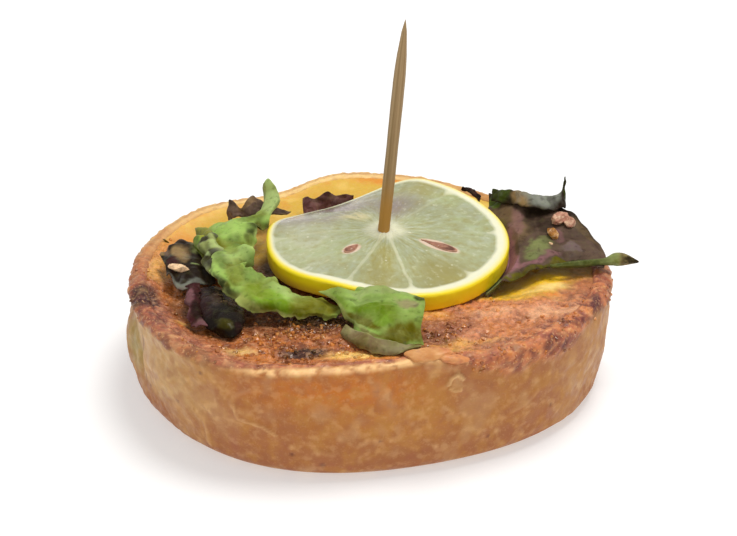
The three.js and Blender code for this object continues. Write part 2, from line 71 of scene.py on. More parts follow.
# Humps and hollows of the filling: x, y, half-width and height.
CUSTARD_RELIEF = [(-33, -22, 13, -2), (-36, 14, 15, -0.9), (4, 34, 16, 1.1), (36, -18, 13, 0.7)]
CUSTARD_RELIEF += [(-6, -36, 8, 0.4), (20, 0, 14, -1.2), (27, -9, 10, -1.9)]
LEMON_CENTRE, LEMON_RADIUS, LEMON_THICKNESS = np.array([4.6, 3, 32.6]), 27.3, 4.1
LEMON_PITCH, LEMON_BANK = 7, 5
# How far the slice's edge hangs down: (depth, heading, half-width in degrees).
LEMON_DROOPS = [(9.3, 125, 57.3), (3.1, 188, 60)]
# Each pip: how far out it lies, its heading, length and width.
PIPS = [(12.2, 229, 4.2, 2.2), (12.8, 336, 8.6, 2.4)]
PIP_DEPTH = 1.6
PICK_TIP, PICK_THROUGH = np.array([8.2, 2.4, 81.4]), np.array([3.8, 2.4, 32])

# ---------------- number helpers


def lerp(a, b, t):
    return a + (b - a) * t


def smooth(x, low, high):
    """0 below low, 1 above high and an S-curve between."""
    t = np.clip((x - low) / (high - low), 0, 1)
    return t * t * (3 - 2 * t)


def bell(distance, half):
    """1 in the middle of a bell and 0 from its half-width outwards."""
    t = np.minimum(np.abs(distance) / half, 1)
    return (1 - t * t) ** 2


def turn(start, end):
    """The turn from one heading to another, -180 to 180 degrees."""
    return np.mod(end - start + 180, 360) - 180


def round_at(deg, at, half):
    """1 at a heading and 0 from half degrees away from it."""
    return bell(turn(at, deg), half)


def heading(x, y):
    return np.degrees(np.arctan2(y, x))


def cosine(deg):
    return np.cos(np.radians(deg))


def sine(deg):
    return np.sin(np.radians(deg))


def xyz(*parts):
    """Points from their coordinates."""
    return np.stack(np.broadcast_arrays(*parts), -1)


def unit(vectors):
    return vectors / np.maximum(np.linalg.norm(vectors, axis=-1, keepdims=True), 1e-9)


def lumps(x, y, seed):
    """The slow lumps that the frame has too, between about -1 and 1."""
    waves = np.sin(x + 1.7 * seed) * np.cos(1.13 * y - 0.6 * seed)
    waves = waves + 0.6 * np.sin(1.9 * x + 1.4 * y + 2.3 * seed)
    return (waves + 0.4 * np.cos(3.1 * y - 2.2 * x + seed)) / 2


def scrambled(corner, seed):
    """A number from 0 to 1 for each whole-number corner."""
    x, y, z = (corner[..., i].astype(np.int64) for i in range(3))
    h = (x * 374761393 + y * 668265263 + z * 1274126177 + seed * 1442695041) & 0xFFFFFFFF
    for shift, factor in ((13, 1274126177), (16, 2246822519)):
        h = ((h ^ (h >> shift)) * factor) & 0xFFFFFFFF
    return (h ^ (h >> 15)) / 4294967295


def one_ripple(p, seed):
    cell = np.floor(p)
    part = p - cell
    ease = part**3 * (part * (part * 6 - 15) + 10)
    total = 0
    for offset in np.ndindex(2, 2, 2):
        corner = cell + offset
        slope = [scrambled(corner, 3 * seed + n) * 2 - 1 for n in range(3)]
        rise = sum(slope[n] * (part[..., n] - offset[n]) for n in range(3))
        share = 1
        for n, side in enumerate(offset):
            share = share * (ease[..., n] if side else 1 - ease[..., n])
        total = total + share * rise
    return total * 1.5


def ripple(p, size, seed, layers=3):
    """Layered noise between about -1 and 1 at the points p, with lumps of the given size in millimetres."""
    total, weight = 0, 0
    for n in range(layers):
        total = total + one_ripple(p * (2**n / size) + 17.3 * n, seed + 11 * n) / 2**n
        weight += 1 / 2**n
    return total / weight * 1.35


def grains(p, size, seed):
    """Distance to the nearest grain, how much farther the next one is, and a number for each grain, in grain sizes."""
    q = p / size
    cell = np.floor(q)
    near, second, chosen = (np.full(q.shape[:-1], start) for start in (9.0, 9.0, 0.0))
    for offset in np.ndindex(3, 3, 3):
        corner = cell + np.array(offset) - 1
        middle = np.stack([scrambled(corner, seed + n) for n in range(3)], -1)
        far = np.linalg.norm(corner + middle - q, axis=-1)
        closer = far < near
        second = np.where(closer, near, np.minimum(second, far))
        chosen = np.where(closer, scrambled(corner, seed + 7), chosen)
        near = np.where(closer, far, near)
    return near, second - near, chosen


def flat(**grids):
    """Grids of numbers as plain rows, under the same names."""
    return SimpleNamespace(**{key: np.ravel(grid) for key, grid in grids.items()})


def domes(near, chosen, least):
    """The round tops of grains, the lowest of which reach the share least."""
    return np.sqrt(np.clip(1 - near * near, 0, 1)) * (least + (1 - least) * chosen)


def curve(points, t):
    """The smooth curve through points, an array whose first axis runs along it, at the shares t."""
    points = np.asarray(points, float)
    ends = [2 * points[0] - points[1], 2 * points[-1] - points[-2]]
    padded = np.concatenate([ends[:1], points, ends[1:]])
    place = np.clip(np.asarray(t, float), 0, 1) * (len(points) - 1)
    start = np.minimum(place.astype(int), len(points) - 2)
    w = (place - start).reshape(-1, *[1] * (points.ndim - 1))
    a, b, c, d = (padded[start + n] for n in range(4))
    slope_b, slope_c = (c - a) / 2, (d - b) / 2
    cubic = 2 * b - 2 * c + slope_b + slope_c
    square = -3 * b + 3 * c - 2 * slope_b - slope_c
    return b + w * (slope_b + w * (square + w * cubic))


def srgb(*rgb):
    """A screen colour, 0 to 255, as the linear colour that shaders use."""
    return tuple(c / 12.92 if c <= 0.04045 else ((c + 0.055) / 1.055) ** 2.4 for c in (n / 255 for n in rgb))


# ---------------- the quiche's own surfaces


def swollen(radius, swells, deg):
    return radius + sum(reach * cosine(count * (deg - at)) for count, reach, at in swells)


def wall_radius(deg, z):
    foot, rim = swollen(BASE_RADIUS, FOOT_SWELLS, deg), swollen(RIM_RADIUS, RIM_SWELLS, deg)
    return lerp(foot, rim, np.clip(z / RIM_HEIGHT, 0, 1))


def rim_rise(deg):
    return sum(height * round_at(deg, at, half * 1.6) for at, half, height in RIM_RISES)


def outline_share(x, y):
    """How far out a point lies: 0 in the middle, 1 at the rim's outline."""
    return np.hypot(x, y) / wall_radius(heading(x, y), RIM_HEIGHT)


def wall_relief(deg, z):
    relief = -0.9 * smooth(z, 16, 20) * (1 - smooth(z, 22, 25.5)) * round_at(deg, 192, 60)
    relief = relief + 0.5 * np.sin(np.pi * z / RIM_HEIGHT) + 0.35 * lumps(deg / 9, z / 4, 3)
    relief = relief + 0.9 * round_at(deg, 287, 6.3) * smooth(z, 22.5, 25)
    for at, half, height, half_height, reach in WALL_PATCHES:
        relief = relief + reach * round_at(deg, at, half) * bell(z - height, half_height)
    return relief


def custard_top(x, y):
    z = FILL_HEIGHT + 0.35 * lumps(x / 7, y / 7, 1) + 0.25 * lumps(x / 3.4, y / 3.4, 5)
    for cx, cy, half, height in CUSTARD_RELIEF:
        z = z + height * bell(np.hypot(x - cx, y - cy), half * 1.5)
    deg = heading(x, y)
    edge = RIM_HEIGHT + rim_rise(deg) - EDGE_DROP - EDGE_SINK[2] * round_at(deg, *EDGE_SINK[:2])
    return lerp(z, edge, smooth(outline_share(x, y), 0.78, INNER_SHARE))


def ground_level(x, y):
    """The height of what the garnish lies on."""
    share = outline_share(x, y)
    crest = RIM_HEIGHT + rim_rise(heading(x, y)) + 0.4
    level = lerp(custard_top(x, y), crest, smooth(share, INNER_SHARE - 0.04, INNER_SHARE))
    return np.where(share > 1.03, -1e6, level)


def to_outline(nominal, deg, z):
    """Radius and height of a point of the evenly turned case once it is swollen to the uneven outline."""
    r = nominal * wall_radius(deg, z) / RIM_RADIUS
    r = r + np.where(nominal > RIM_RADIUS - 0.6, wall_relief(deg, z), 0)
    in_wall = smooth(nominal, RIM_RADIUS - 12, INNER_RADIUS)
    return r, z + rim_rise(deg) * smooth(z, 15, RIM_HEIGHT) * in_wall


def lemon_top(x, y):
    dx, dy = x - LEMON_CENTRE[0], y - LEMON_CENTRE[1]
    share, deg = np.hypot(dx, dy) / LEMON_RADIUS, heading(dx, dy)
    sag = share * share * sum(depth * round_at(deg, at, half) for depth, at, half in LEMON_DROOPS)
    wave = 0.25 * share * sine(3 * deg + 40)
    tilt = dy * math.tan(math.radians(LEMON_PITCH)) - dx * math.tan(math.radians(LEMON_BANK))
    return LEMON_CENTRE[2] + tilt - sag + wave


def lemon_edge(deg):
    return LEMON_RADIUS + 0.5 * cosine(2 * deg - 20) + 0.25 * cosine(5 * deg)


# ---------------- mesh making


def arc(cx, cz, radius, start, end, steps):
    angles = np.radians(np.linspace(start, end, steps + 1))
    return [(cx + radius * math.cos(a), cz + radius * math.sin(a)) for a in angles]


def turned_grid(section, columns):
    """The numbers of each row of a section, and the headings, spread over a full turn."""
    section = np.array(section, float)
    deg = np.linspace(0, 360, columns, endpoint=False)[None, :]
    return np.broadcast_arrays(*section.T[..., None], deg)


def grid_normals(p, wrap):
    """Unit normals of a grid of points, whose second axis closes on itself if wrap is set."""
    along = np.roll(p, -1, 1) - np.roll(p, 1, 1) if wrap else np.gradient(p, axis=1)
    return unit(np.cross(np.gradient(p, axis=0), along))


def quads_of(rows, columns, wrap):
    i, j = np.meshgrid(np.arange(rows - 1), np.arange(columns if wrap else columns - 1), indexing="ij")
    k = (j + 1) % columns
    near, far = i * columns, (i + 1) * columns
    return np.stack([near + j, near + k, far + k, far + j], -1).reshape(-1, 4)


def turned_faces(rows, columns):
    """Quads of a ring grid, and triangles to a pole before its first row and one after its last: poles come last."""
    first, last = rows * columns, rows * columns + 1
    j = np.arange(columns)
    k = (j + 1) % columns
    end = (rows - 1) * columns
    start_fan = np.stack([np.full(columns, first), k, j], -1)
    end_fan = np.stack([np.full(columns, last), end + j, end + k], -1)
    return quads_of(rows, columns, True), np.concatenate([start_fan, end_fan])


def new_mesh(name, points, quads, triangles, **layers):
    """A smooth mesh whose faces point outwards. Each layer is a number, a vector or a colour for every point."""
    points = np.asarray(points, float)
    quads = np.asarray(quads, int).reshape(-1, 4)
    triangles = np.asarray(triangles, int).reshape(-1, 3)
    split = np.concatenate([quads[:, [0, 1, 2]], quads[:, [0, 2, 3]], triangles])
    a, b, c = (points[split[:, n]] for n in range(3))
    if np.einsum("ij,ij->", a, np.cross(b, c)) < 0:
        quads, triangles = quads[:, ::-1], triangles[:, ::-1]
    mesh = bpy.data.meshes.new(name)
    corners = np.concatenate([quads.ravel(), triangles.ravel()]).astype(np.int32)
    sizes = np.repeat(np.array([4, 3], np.int32), [len(quads), len(triangles)])
    mesh.vertices.add(len(points))
    mesh.vertices.foreach_set("co", (points * MM).astype(np.float32).ravel())
    mesh.loops.add(len(corners))
    mesh.loops.foreach_set("vertex_index", corners)
    mesh.polygons.add(len(sizes))
    mesh.polygons.foreach_set("loop_start", (np.cumsum(sizes) - sizes).astype(np.int32))
    mesh.polygons.foreach_set("use_smooth", np.ones(len(sizes), bool))
    for layer, values in layers.items():
        add_layer(mesh, layer, values)
    mesh.update(calc_edges=True)
    if mesh.validate():
        raise RuntimeError(f"{name}: a face was not sound")
    return mesh


def add_layer(mesh, layer, values):
    values = np.asarray(values, np.float32)
    if values.ndim == 1:
        kind, key = "FLOAT", "value"
    elif layer == "tint":
        kind, key = "FLOAT_COLOR", "color"
        values = np.concatenate([values, np.ones((len(values), 1), np.float32)], 1)
    else:
        kind, key = "FLOAT_VECTOR", "vector"
    mesh.attributes.new(layer, kind, "POINT").data.foreach_set(key, values.ravel())


def add_object(name, data):
    made = bpy.data.objects.new(name, data)
    bpy.context.scene.collection.objects.link(made)
    return made


def add_piece(name, mesh, material=None, replaces=()):
    """Puts a finished mesh in the scene as a piece that rides on the quiche."""
    piece = add_object(name, mesh)
    if material:
        mesh.materials.clear()
        mesh.materials.append(material)
    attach(piece, "root")
    if replaces:
        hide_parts(*replaces)
    return piece


def add_turned(name, p, ends, material, node, slot, **layers):
    """Adds a piece that is a grid of points round the vertical, closed at both ends, with layers for the grid.
    The two points that close it have the colours of their neighbours, and 0 in the other layers."""
    layers = {key: np.concatenate([a, a[[0, -1]] * (key == "tint")]) for key, a in layers.items()}
    points = np.concatenate([p.reshape(-1, 3), ends])
    return add_piece(name, new_mesh(name, points, *turned_faces(*p.shape[:2]), **layers), material, [node])


class Coat:
    """Colours of the settings laid over each other on the points of a piece."""

    def __init__(self, count, settings, colour):
        self.settings = settings
        self.colours = np.tile(np.array(getattr(settings, colour), float), (count, 1))

    def lay(self, colour, mask):
        """Covers the points with a colour of the settings, or each with its own, as far as the mask says."""
        colour = np.array(getattr(self.settings, colour) if isinstance(colour, str) else colour, float)
        mask = np.clip(np.asarray(mask, float), 0, 1).reshape(-1, 1)
        self.colours = self.colours * (1 - mask) + colour * mask
        return self

    def shade(self, factor):
        self.colours = self.colours * np.asarray(factor, float).reshape(-1, 1)
        return self


# ---------------- node trees


class Tree:
    """A shader or Geometry Nodes tree under construction, with short calls to add and link its nodes."""

    def __init__(self, tree):
        self.tree = tree
        self.count = 0

    def node(self, kind, inputs=None, **settings):
        made = self.tree.nodes.new(kind)
        made.location = (self.count * 190, -60 * (self.count % 4))
        self.count += 1
        for key, value in settings.items():
            setattr(made, key, value)
        for key, value in (inputs or {}).items():
            self.put(made.inputs[key], value)
        return made

    def put(self, socket, value):
        if isinstance(value, bpy.types.NodeSocket):
            self.tree.links.new(value, socket)
        elif socket.type == "RGBA":
            socket.default_value = [*value, 1][:4]
        else:
            socket.default_value = value

    def face(self, side, rows):
        """Adds sockets to the tree's own face, each a (name, kind, default), and gives their identifiers."""
        made = [self.tree.interface.new_socket(name=n, in_out=side, socket_type=kind) for n, kind, _ in rows]
        for socket, (_, _, default) in zip(made, rows):
            if isinstance(default, (int, float)):
                socket.default_value = default
        return [socket.identifier for socket in made]

    def math(self, operation, a, b=0, c=0):
        return self.node("ShaderNodeMath", {0: a, 1: b, 2: c}, operation=operation).outputs[0]

    def times(self, a, b):
        return self.math("MULTIPLY", a, b)

    def mix(self, share, a, b):
        mixer = self.node("ShaderNodeMix", data_type="RGBA", clamp_factor=True)
        first, second = [s for s in mixer.inputs if s.type == "RGBA"]
        for socket, value in ((mixer.inputs[0], share), (first, a), (second, b)):
            self.put(socket, value)
        return [s for s in mixer.outputs if s.type == "RGBA"][0]

    def span(self, value, low, high, to_low=0, to_high=1):
        inputs = {"Value": value, "From Min": low, "From Max": high, "To Min": to_low, "To Max": to_high}
        return self.node("ShaderNodeMapRange", inputs, interpolation_type="SMOOTHSTEP").outputs["Result"]

    def noise(self, vector, scale, detail=3, roughness=0.55):
        inputs = {"Vector": vector, "Scale": scale, "Detail": detail, "Roughness": roughness}
        return self.node("ShaderNodeTexNoise", inputs).outputs["Fac"]

    def cells(self, vector, scale, feature="F1"):
        made = self.node("ShaderNodeTexVoronoi", {"Vector": vector, "Scale": scale}, feature=feature)
        return made.outputs["Distance"]

    def layer(self, name, output="Fac"):
        return self.node("ShaderNodeAttribute", attribute_name=name).outputs[output]

    def here(self):
        return self.node("ShaderNodeTexCoord").outputs["Object"]

    def group(self, tree, *values):
        """The outputs of a shader group, given the values of its inputs in their order."""
        made = self.node("ShaderNodeGroup")
        made.node_tree = tree
        for socket, value in zip(made.inputs, values):
            self.put(socket, value)
        return made.outputs

    def mottle(self, light, dark, scale, blotches, freckles, colour=None):
        """The colour and height that the group for baked mottle puts out over the tint of the points."""
        colour = self.layer("tint", "Color") if colour is None else colour
        values = (self.here(), colour, light, dark, scale, blotches, freckles)
        return self.group(mottle_group(), *values)

    def glisten(self, dry, wet, scale):
        """The roughness that the group for glistening patches puts out."""
        return self.group(wet_group(), self.here(), dry, wet, scale)["Roughness"]


NUMBER, COLOUR, VECTOR = "NodeSocketFloat", "NodeSocketColor", "NodeSocketVector"
WHOLE, MATERIAL, SHAPE = "NodeSocketInt", "NodeSocketMaterial", "NodeSocketGeometry"


def shader_group(name, inputs, outputs):
    """A group's builder, its inputs by name and its output node's sockets."""
    build = Tree(bpy.data.node_groups.new(name, "ShaderNodeTree"))
    build.face("INPUT", inputs)
    build.face("OUTPUT", [(label, kind, None) for label, kind in outputs])
    return build, build.node("NodeGroupInput").outputs, build.node("NodeGroupOutput").inputs


def mottle_group():
    """Blotches and freckles that baking leaves: the mottled colour, and the height of the fine crumb."""
    name = "Baked mottle"
    if name in bpy.data.node_groups:
        return bpy.data.node_groups[name]
    inputs = [("Vector", VECTOR, None), ("Colour", COLOUR, None), ("Light", COLOUR, None), ("Dark", COLOUR, None)]
    inputs += [("Blotch scale", NUMBER, 250), ("Blotches", NUMBER, 0.5), ("Freckles", NUMBER, 0.3)]
    build, given, out = shader_group(name, inputs, [("Colour", COLOUR), ("Height", NUMBER)])
    broad = build.noise(given["Vector"], given["Blotch scale"], 4, 0.6)
    fine = build.noise(given["Vector"], build.times(given["Blotch scale"], 4), 3, 0.6)
    mixed = given["Colour"]
    for pattern, low, high, strength, tone in (
        (broad, 0.5, 0.66, "Blotches", "Light"),
        (broad, 0.5, 0.36, "Blotches", "Dark"),
        (fine, 0.56, 0.7, "Freckles", "Dark"),
        (fine, 0.44, 0.32, "Freckles", "Light"),
    ):
        mixed = build.mix(build.times(build.span(pattern, low, high), given[strength]), mixed, given[tone])
    build.put(out["Colour"], mixed)
    build.put(out["Height"], build.math("ADD", fine, build.times(broad, 0.6)))
    return build.tree


def wet_group():
    """Where fat and egg glisten: a roughness that drops in patches from dry to wet."""
    name = "Glistening"
    if name in bpy.data.node_groups:
        return bpy.data.node_groups[name]
    inputs = [("Vector", VECTOR, None), ("Dry", NUMBER, 0.7), ("Wet", NUMBER, 0.3), ("Patch scale", NUMBER, 500)]
    build, given, out = shader_group(name, inputs, [("Roughness", NUMBER)])
    patches = build.span(build.noise(given["Vector"], given["Patch scale"], 2), 0.42, 0.62)
    share = build.times(build.math("SUBTRACT", given["Wet"], given["Dry"]), patches)
    build.put(out["Roughness"], build.math("ADD", given["Dry"], share))
    return build.tree


def new_material(name):
    material = bpy.data.materials.new(name)
    material.use_nodes = True
    material.node_tree.nodes.clear()
    return material, Tree(material.node_tree)


def finish_material(build, colour, roughness, height=None, bump=0.3, depth=0.3, soft=None, **fixed):
    """Adds the surface shader. Depth is what a height of 1 stands for, soft how far light scatters inside as its
    weight, spread by colour and scale, both in millimetres, and fixed are the shader's plain sockets."""
    surface = build.node("ShaderNodeBsdfPrincipled", {"Base Color": colour, "Roughness": roughness})
    if height is not None:
        bumped = build.node("ShaderNodeBump", {"Strength": bump, "Distance": depth * MM, "Height": height})
        build.put(surface.inputs["Normal"], bumped.outputs["Normal"])
    if soft:
        weight, spread, scale = soft
        fixed |= {"Subsurface_Weight": weight, "Subsurface_Radius": spread, "Subsurface_Scale": scale * MM}
    for key, value in fixed.items():
        build.put(surface.inputs[key.replace("_", " ")], value)
    build.node("ShaderNodeOutputMaterial", {"Surface": surface.outputs["BSDF"]})


class ShapeTree(Tree):
    """A Geometry Nodes tree under construction, with a value for each input."""

    def __init__(self, name, inputs):
        super().__init__(bpy.data.node_groups.new(name, "GeometryNodeTree"))
        self.face("INPUT", [("Geometry", SHAPE, None)])
        self.values = dict(zip(self.face("INPUT", inputs), (value for _, _, value in inputs)))
        self.face("OUTPUT", [("Geometry", SHAPE, None)])
        self.given = self.node("NodeGroupInput").outputs

    def shape(self, kind, inputs=None, output="Geometry", **settings):
        return self.node("GeometryNode" + kind, inputs, **settings).outputs[output]

    def random(self, low, high, seed, number="FLOAT"):
        """A random number, or vector if the number's kind says so, for each point or instance."""
        made = self.node("FunctionNodeRandomValue", {"Seed": seed}, data_type=number)
        kind = "VECTOR" if number == "FLOAT_VECTOR" else "VALUE"
        for socket, value in zip([s for s in made.inputs if s.type == kind], (low, high)):
            self.put(socket, value)
        return [s for s in made.outputs if s.type == kind][0]

    def finish(self, shape):
        painted = self.shape("SetMaterial", {"Geometry": shape, "Material": self.given["Material"]})
        self.put(self.node("NodeGroupOutput").inputs["Geometry"], painted)
        return self

    def run(self, name, base):
        """The plain mesh that the tree makes of the base object, which is then removed."""
        modifier = base.modifiers.new("shape", "NODES")
        modifier.node_group = self.tree
        for identifier, value in self.values.items():
            modifier[identifier] = value
        bpy.context.view_layer.update()
        graph = bpy.context.evaluated_depsgraph_get()
        shaped = base.evaluated_get(graph)
        mesh = bpy.data.meshes.new_from_object(shaped, preserve_all_data_layers=True, depsgraph=graph)
        mesh.name = name
        bpy.data.objects.remove(base)
        return mesh


# ---------------- settings that a user may change


def tone(about, *rgb):
    limits = {"size": 3, "min": 0, "max": 1}
    return bpy.props.FloatVectorProperty(description=about, default=srgb(*rgb), subtype="COLOR", **limits)


def length(about, mm):
    return bpy.props.FloatProperty(description=about, default=mm * MM, subtype="DISTANCE", min=0, precision=5)


def amount(about, default, least=0):
    return bpy.props.FloatProperty(description=about, default=default, min=least)


class PastrySettings(bpy.types.PropertyGroup):
    """Sizes and colours of the pastry case."""

    wrinkle_height: length("Height of the folds and bubbles of the wall", 0.35)
    crumb_height: length("Height of the crumb on the browned rim", 0.42)
    biscuit: tone("The wall's main colour", 174, 111, 57)
    beige: tone("The palest pastry", 206, 162, 112)
    golden: tone("Buttery blotches of the wall", 190, 132, 62)
    orange: tone("The band under the front of the rim", 204, 116, 36)
    rosy: tone("The rosy brown low on the wall", 164, 102, 64)
    khaki: tone("The dull left side", 202, 168, 112)
    olive: tone("The crease on the left", 156, 134, 58)
    cream: tone("The pale crest of the rim", 250, 204, 142)
    flake: tone("The flake on the rim", 200, 136, 78)
    toasted: tone("The browned rim", 164, 94, 72)
    amber: tone("The glowing brown of the rim's crumbs", 216, 136, 86)
    # The scorched brown is also painted shade: it darkens the wall's fold and the low parts of the crumb.
    scorched: tone("The darkest spots of the rim", 88, 42, 46)
    buttery: tone("The pale gold of the back of the rim", 250, 216, 144)


class FillingSettings(bpy.types.PropertyGroup):
    """Sizes and colours of the baked egg filling."""

    grain_height: length("Height of the curds where the filling browned", 0.5)
    grain_count: bpy.props.IntProperty(description="Browned grains on the filling", default=1500, min=0, max=9000)
    yolk: tone("The filling at the back", 216, 174, 66)
    pale: tone("The palest egg", 252, 218, 128)
    saffron: tone("Bright golden patches", 255, 196, 96)
    mustard: tone("The deep yellow under the right leaf", 250, 196, 8)
    tangerine: tone("Where yellow turns to brown", 222, 134, 46)
    caramel: tone("The browned top", 184, 104, 50)
    peach: tone("The rosy side of the browned top", 224, 146, 100)
    # Chestnut is the browning, and where it is laid in the dips between curds and beside the leaves also painted shade;
    # umber and shade are painted shade beside the lemon and under the leaves.
    chestnut: tone("The deep brown between the curds", 112, 56, 26)
    umber: tone("The filling in the deepest shade of the lemon", 74, 46, 10)
    shade: tone("The darkest brown, below the leaves", 42, 20, 8)
    burnt: tone("The darkest spots", 48, 22, 16)
    plum: tone("The purplish brown of the right side", 146, 86, 66)
    blush: tone("The palest browned curds", 250, 188, 140)


class LemonSettings(bpy.types.PropertyGroup):
    """Sizes and colours of the lemon slice and its pips."""

    membrane_width: length("Width of the walls between the segments", 0.5)
    rind: tone("The outer skin", 244, 220, 16)
    rind_shadow: tone("The skin's deeper yellow", 250, 192, 10)
    pith: tone("The white under the skin", 230, 229, 200)
    pulp: tone("The juicy segments", 164, 168, 128)
    pulp_grey: tone("The segments' paler streaks", 176, 182, 160)
    pulp_olive: tone("The segments' deeper streaks", 150, 138, 66)
    pulp_green: tone("The greenest pulp", 156, 172, 112)
    straw: tone("The pale streak behind the pick", 214, 198, 146)
    lilac: tone("What shows through at the back", 140, 122, 120)
    hollow: tone("The pale edge that the pips lie in", 226, 198, 176)
    pip_skin: tone("The pips", 150, 100, 78)
    pip_edge: tone("The pips' paler edge", 196, 152, 124)
    pip_middle: tone("The pips' dark middle", 84, 48, 36)
    pip_light: tone("The pips' pale flecks", 196, 148, 120)
    pip_dark: tone("The pips' dark flecks", 88, 48, 38)


class PickSettings(bpy.types.PropertyGroup):
    """Sizes and colours of the bamboo pick."""

    thickness: length("The pick's diameter", 2.7)
    reach: length("The pick from end to end", 75)
    wood: tone("The bamboo", 146, 120, 80)
    fibre: tone("Its darker fibres", 124, 86, 40)
    light_fibre: tone("Its paler fibres", 176, 148, 108)
    honey: tone("The golden end above the lemon", 188, 134, 48)


class LeafSettings(bpy.types.PropertyGroup):
    """Sizes and colours of the lettuce and the nuts on it."""

    thickness: length("Thickness of a leaf", 0.42)
    green: tone("The fresh green", 154, 186, 92)
    bright: tone("The brightest frills", 124, 158, 40)
    vivid: tone("The most saturated fold", 104, 134, 14)
    sage: tone("The dull grey green", 132, 140, 84)
    yellow_green: tone("Where light shines through", 156, 150, 34)
    grey_green: tone("The matt upper side", 162, 180, 112)
    olive: tone("The green in the shade", 104, 98, 4)
    deep_green: tone("The darkest green", 46, 56, 12)
    deep_grey: tone("The sheen of the dark frills", 104, 106, 96)
    umber: tone("The brown of the dark leaves", 128, 104, 68)
    lip: tone("The pale edge of a fold", 178, 184, 110)
    stone: tone("The pale grey side of a fold", 158, 146, 106)
    mauve: tone("The grey purple side", 100, 80, 66)
    lilac: tone("The pale purple side", 138, 120, 124)
    purple: tone("The purple veins", 158, 110, 114)
    wine: tone("The dark purple", 60, 26, 28)
    plum: tone("The reddish purple of the leaf at the back", 104, 70, 66)
    soot: tone("The nearly black frills", 30, 20, 12)
    nut: tone("A chip of nut", 255, 212, 164)
    nut_pink: tone("The pink chips", 190, 134, 112)
    nut_gold: tone("The golden chip", 174, 114, 36)
    nut_pale: tone("The pale patches of the chips", 250, 226, 190)
    nut_brown: tone("The brown patches of the chips", 126, 80, 48)
    nut_light: tone("The pale flecks of the chips", 250, 222, 180)
    nut_dark: tone("The brown flecks of the chips", 120, 74, 42)


class StageSettings(bpy.types.PropertyGroup):
    """The floor, the light and the camera."""

    floor: tone("The plain floor", 206, 206, 206)
    sky_light: amount("Light from all round", 0.5)
    key_light: amount("Power of the soft lamp above, in watts", 1.9)
    fill_light: amount("Power of the soft lamp in front, in watts", 0.35)
    focal_length: amount("Of the camera, in millimetres", 63.95, 1)


SETTINGS = {
    "quiche_pastry": PastrySettings,
    "quiche_filling": FillingSettings,
    "quiche_lemon": LemonSettings,
    "quiche_pick": PickSettings,
    "quiche_leaves": LeafSettings,
    "quiche_stage": StageSettings,
}


# ---------------- pastry case

COLUMNS = 704
# How far the rim's inner half falls to the filling.
SHELF_DROP = 1
# Thin raised lines in the wall: points as (heading, height), half-width in millimetres and height share.
RIDGES = [
    ([(240.6, 16.7), (241.3, 13.4), (244.3, 13), (247, 12.5), (249.8, 10.8)], 0.55, 1),
    ([(239.9, 16.8), (241.3, 19.1), (243.8, 20.8), (247.1, 21)], 0.8, 0.4),
    ([(232, 10.5), (232.3, 6.5), (232.6, 3.8)], 0.6, 0.7),
    ([(233.4, 14.6), (234.7, 13)], 0.6, 0.8),
    ([(289.6, 20.6), (290.3, 22), (291.9, 22.6), (293.2, 21.4)], 0.6, 2),
    ([(290, 19.6), (291.2, 19), (292.6, 19.2)], 0.5, 1.4),
    ([(288.6, 15.6), (289.9, 14.6), (291, 13.8)], 0.6, 0.7),
    ([(279, 18), (280.5, 15.6), (282.2, 14.9)], 0.7, 0.5),
    ([(306, 11), (310, 11.8), (313.5, 14)], 0.8, 0.5),
    ([(257, 9.5), (259, 7.4), (262.5, 6.4)], 0.7, 0.5),
    ([(268, 8.2), (270.4, 9.8), (273.6, 9.4)], 0.7, 0.45),
]
# Dark specks on the wall: heading, height and radius.
SPECKS = [(253.1, 6.4, 0.5), (259.9, 4, 0.6), (233.3, 22.4, 0.4), (210.2, 9.1, 0.4), (224.3, 12, 0.35)]
SPECKS += [(273.2, 9.2, 0.35), (300.5, 6.2, 0.4), (318, 9, 0.35), (28, 13, 0.5), (75, 8, 0.4)]
SPECKS += [(96, 17, 0.45), (137, 6, 0.5)]
# Where the browned crumbs end on the outside of the wall: (heading, height).
CRUMB_LINE = [(288, 25.9), (291, 25.6), (294, 24.9), (297.4, 23.4), (302.7, 21.6), (308, 21.2), (313.6, 21.4)]
CRUMB_LINE += [(318.2, 21.4), (321.3, 22.3), (326.7, 23.2), (330.7, 24.6), (336, 25), (342, 24.2), (348, 24.6)]
CRUMB_LINE += [(356, 25.2), (364, 25.5)]
# The darkest spots of the browned crumb: x, y, half-width across and in depth, and how much darker than scorched.
DARK_SPOTS = [(-48, -17.4, 3.8, 6.4, 0.55), (49.2, -21.8, 2, 4.6, 0)]
MM_PER_DEGREE = math.pi * RIM_RADIUS / 180


def case_section():
    """[radius, height, share of the rim's arc or -1] of the case's section, closest together where it shows."""
    outer, half = RIM_RADIUS, WALL / 2
    section = [(r, 0, -1) for r in np.linspace(2.5, outer - FOOT_ROUND, 18)[:-1]]
    section += [(r, z, -1) for r, z in arc(outer - FOOT_ROUND, FOOT_ROUND, FOOT_ROUND, -90, 0, 9)]
    section += [(outer, z, -1) for z in np.linspace(FOOT_ROUND, RIM_HEIGHT - half, 48)[1:-1]]
    for n, (r, z) in enumerate(arc(outer - half, RIM_HEIGHT - half, half, 0, 180, 28)):
        section.append((r, z if n < 14 else RIM_HEIGHT - SHELF_DROP * (n / 14 - 1) ** 2, n / 28))
    hidden = [(INNER_RADIUS, 20), (INNER_RADIUS, 12), (INNER_RADIUS - 1, FLOOR), (30, FLOOR), (4, FLOOR)]
    return section + [(r, z, 2) for r, z in hidden]


def line_distance(deg, z, line):
    """How far each point of the wall lies from a line of (heading, height) points, in millimetres."""
    best = np.full(deg.shape, 1e3)
    for (a0, z0), (a1, z1) in zip(line[:-1], line[1:]):
        dx, dz = (a1 - a0) * MM_PER_DEGREE, z1 - z0
        px, pz = turn(a0, deg) * MM_PER_DEGREE, z - z0
        t = np.clip((px * dx + pz * dz) / (dx * dx + dz * dz), 0, 1)
        best = np.minimum(best, np.hypot(px - t * dx, pz - t * dz))
    return best


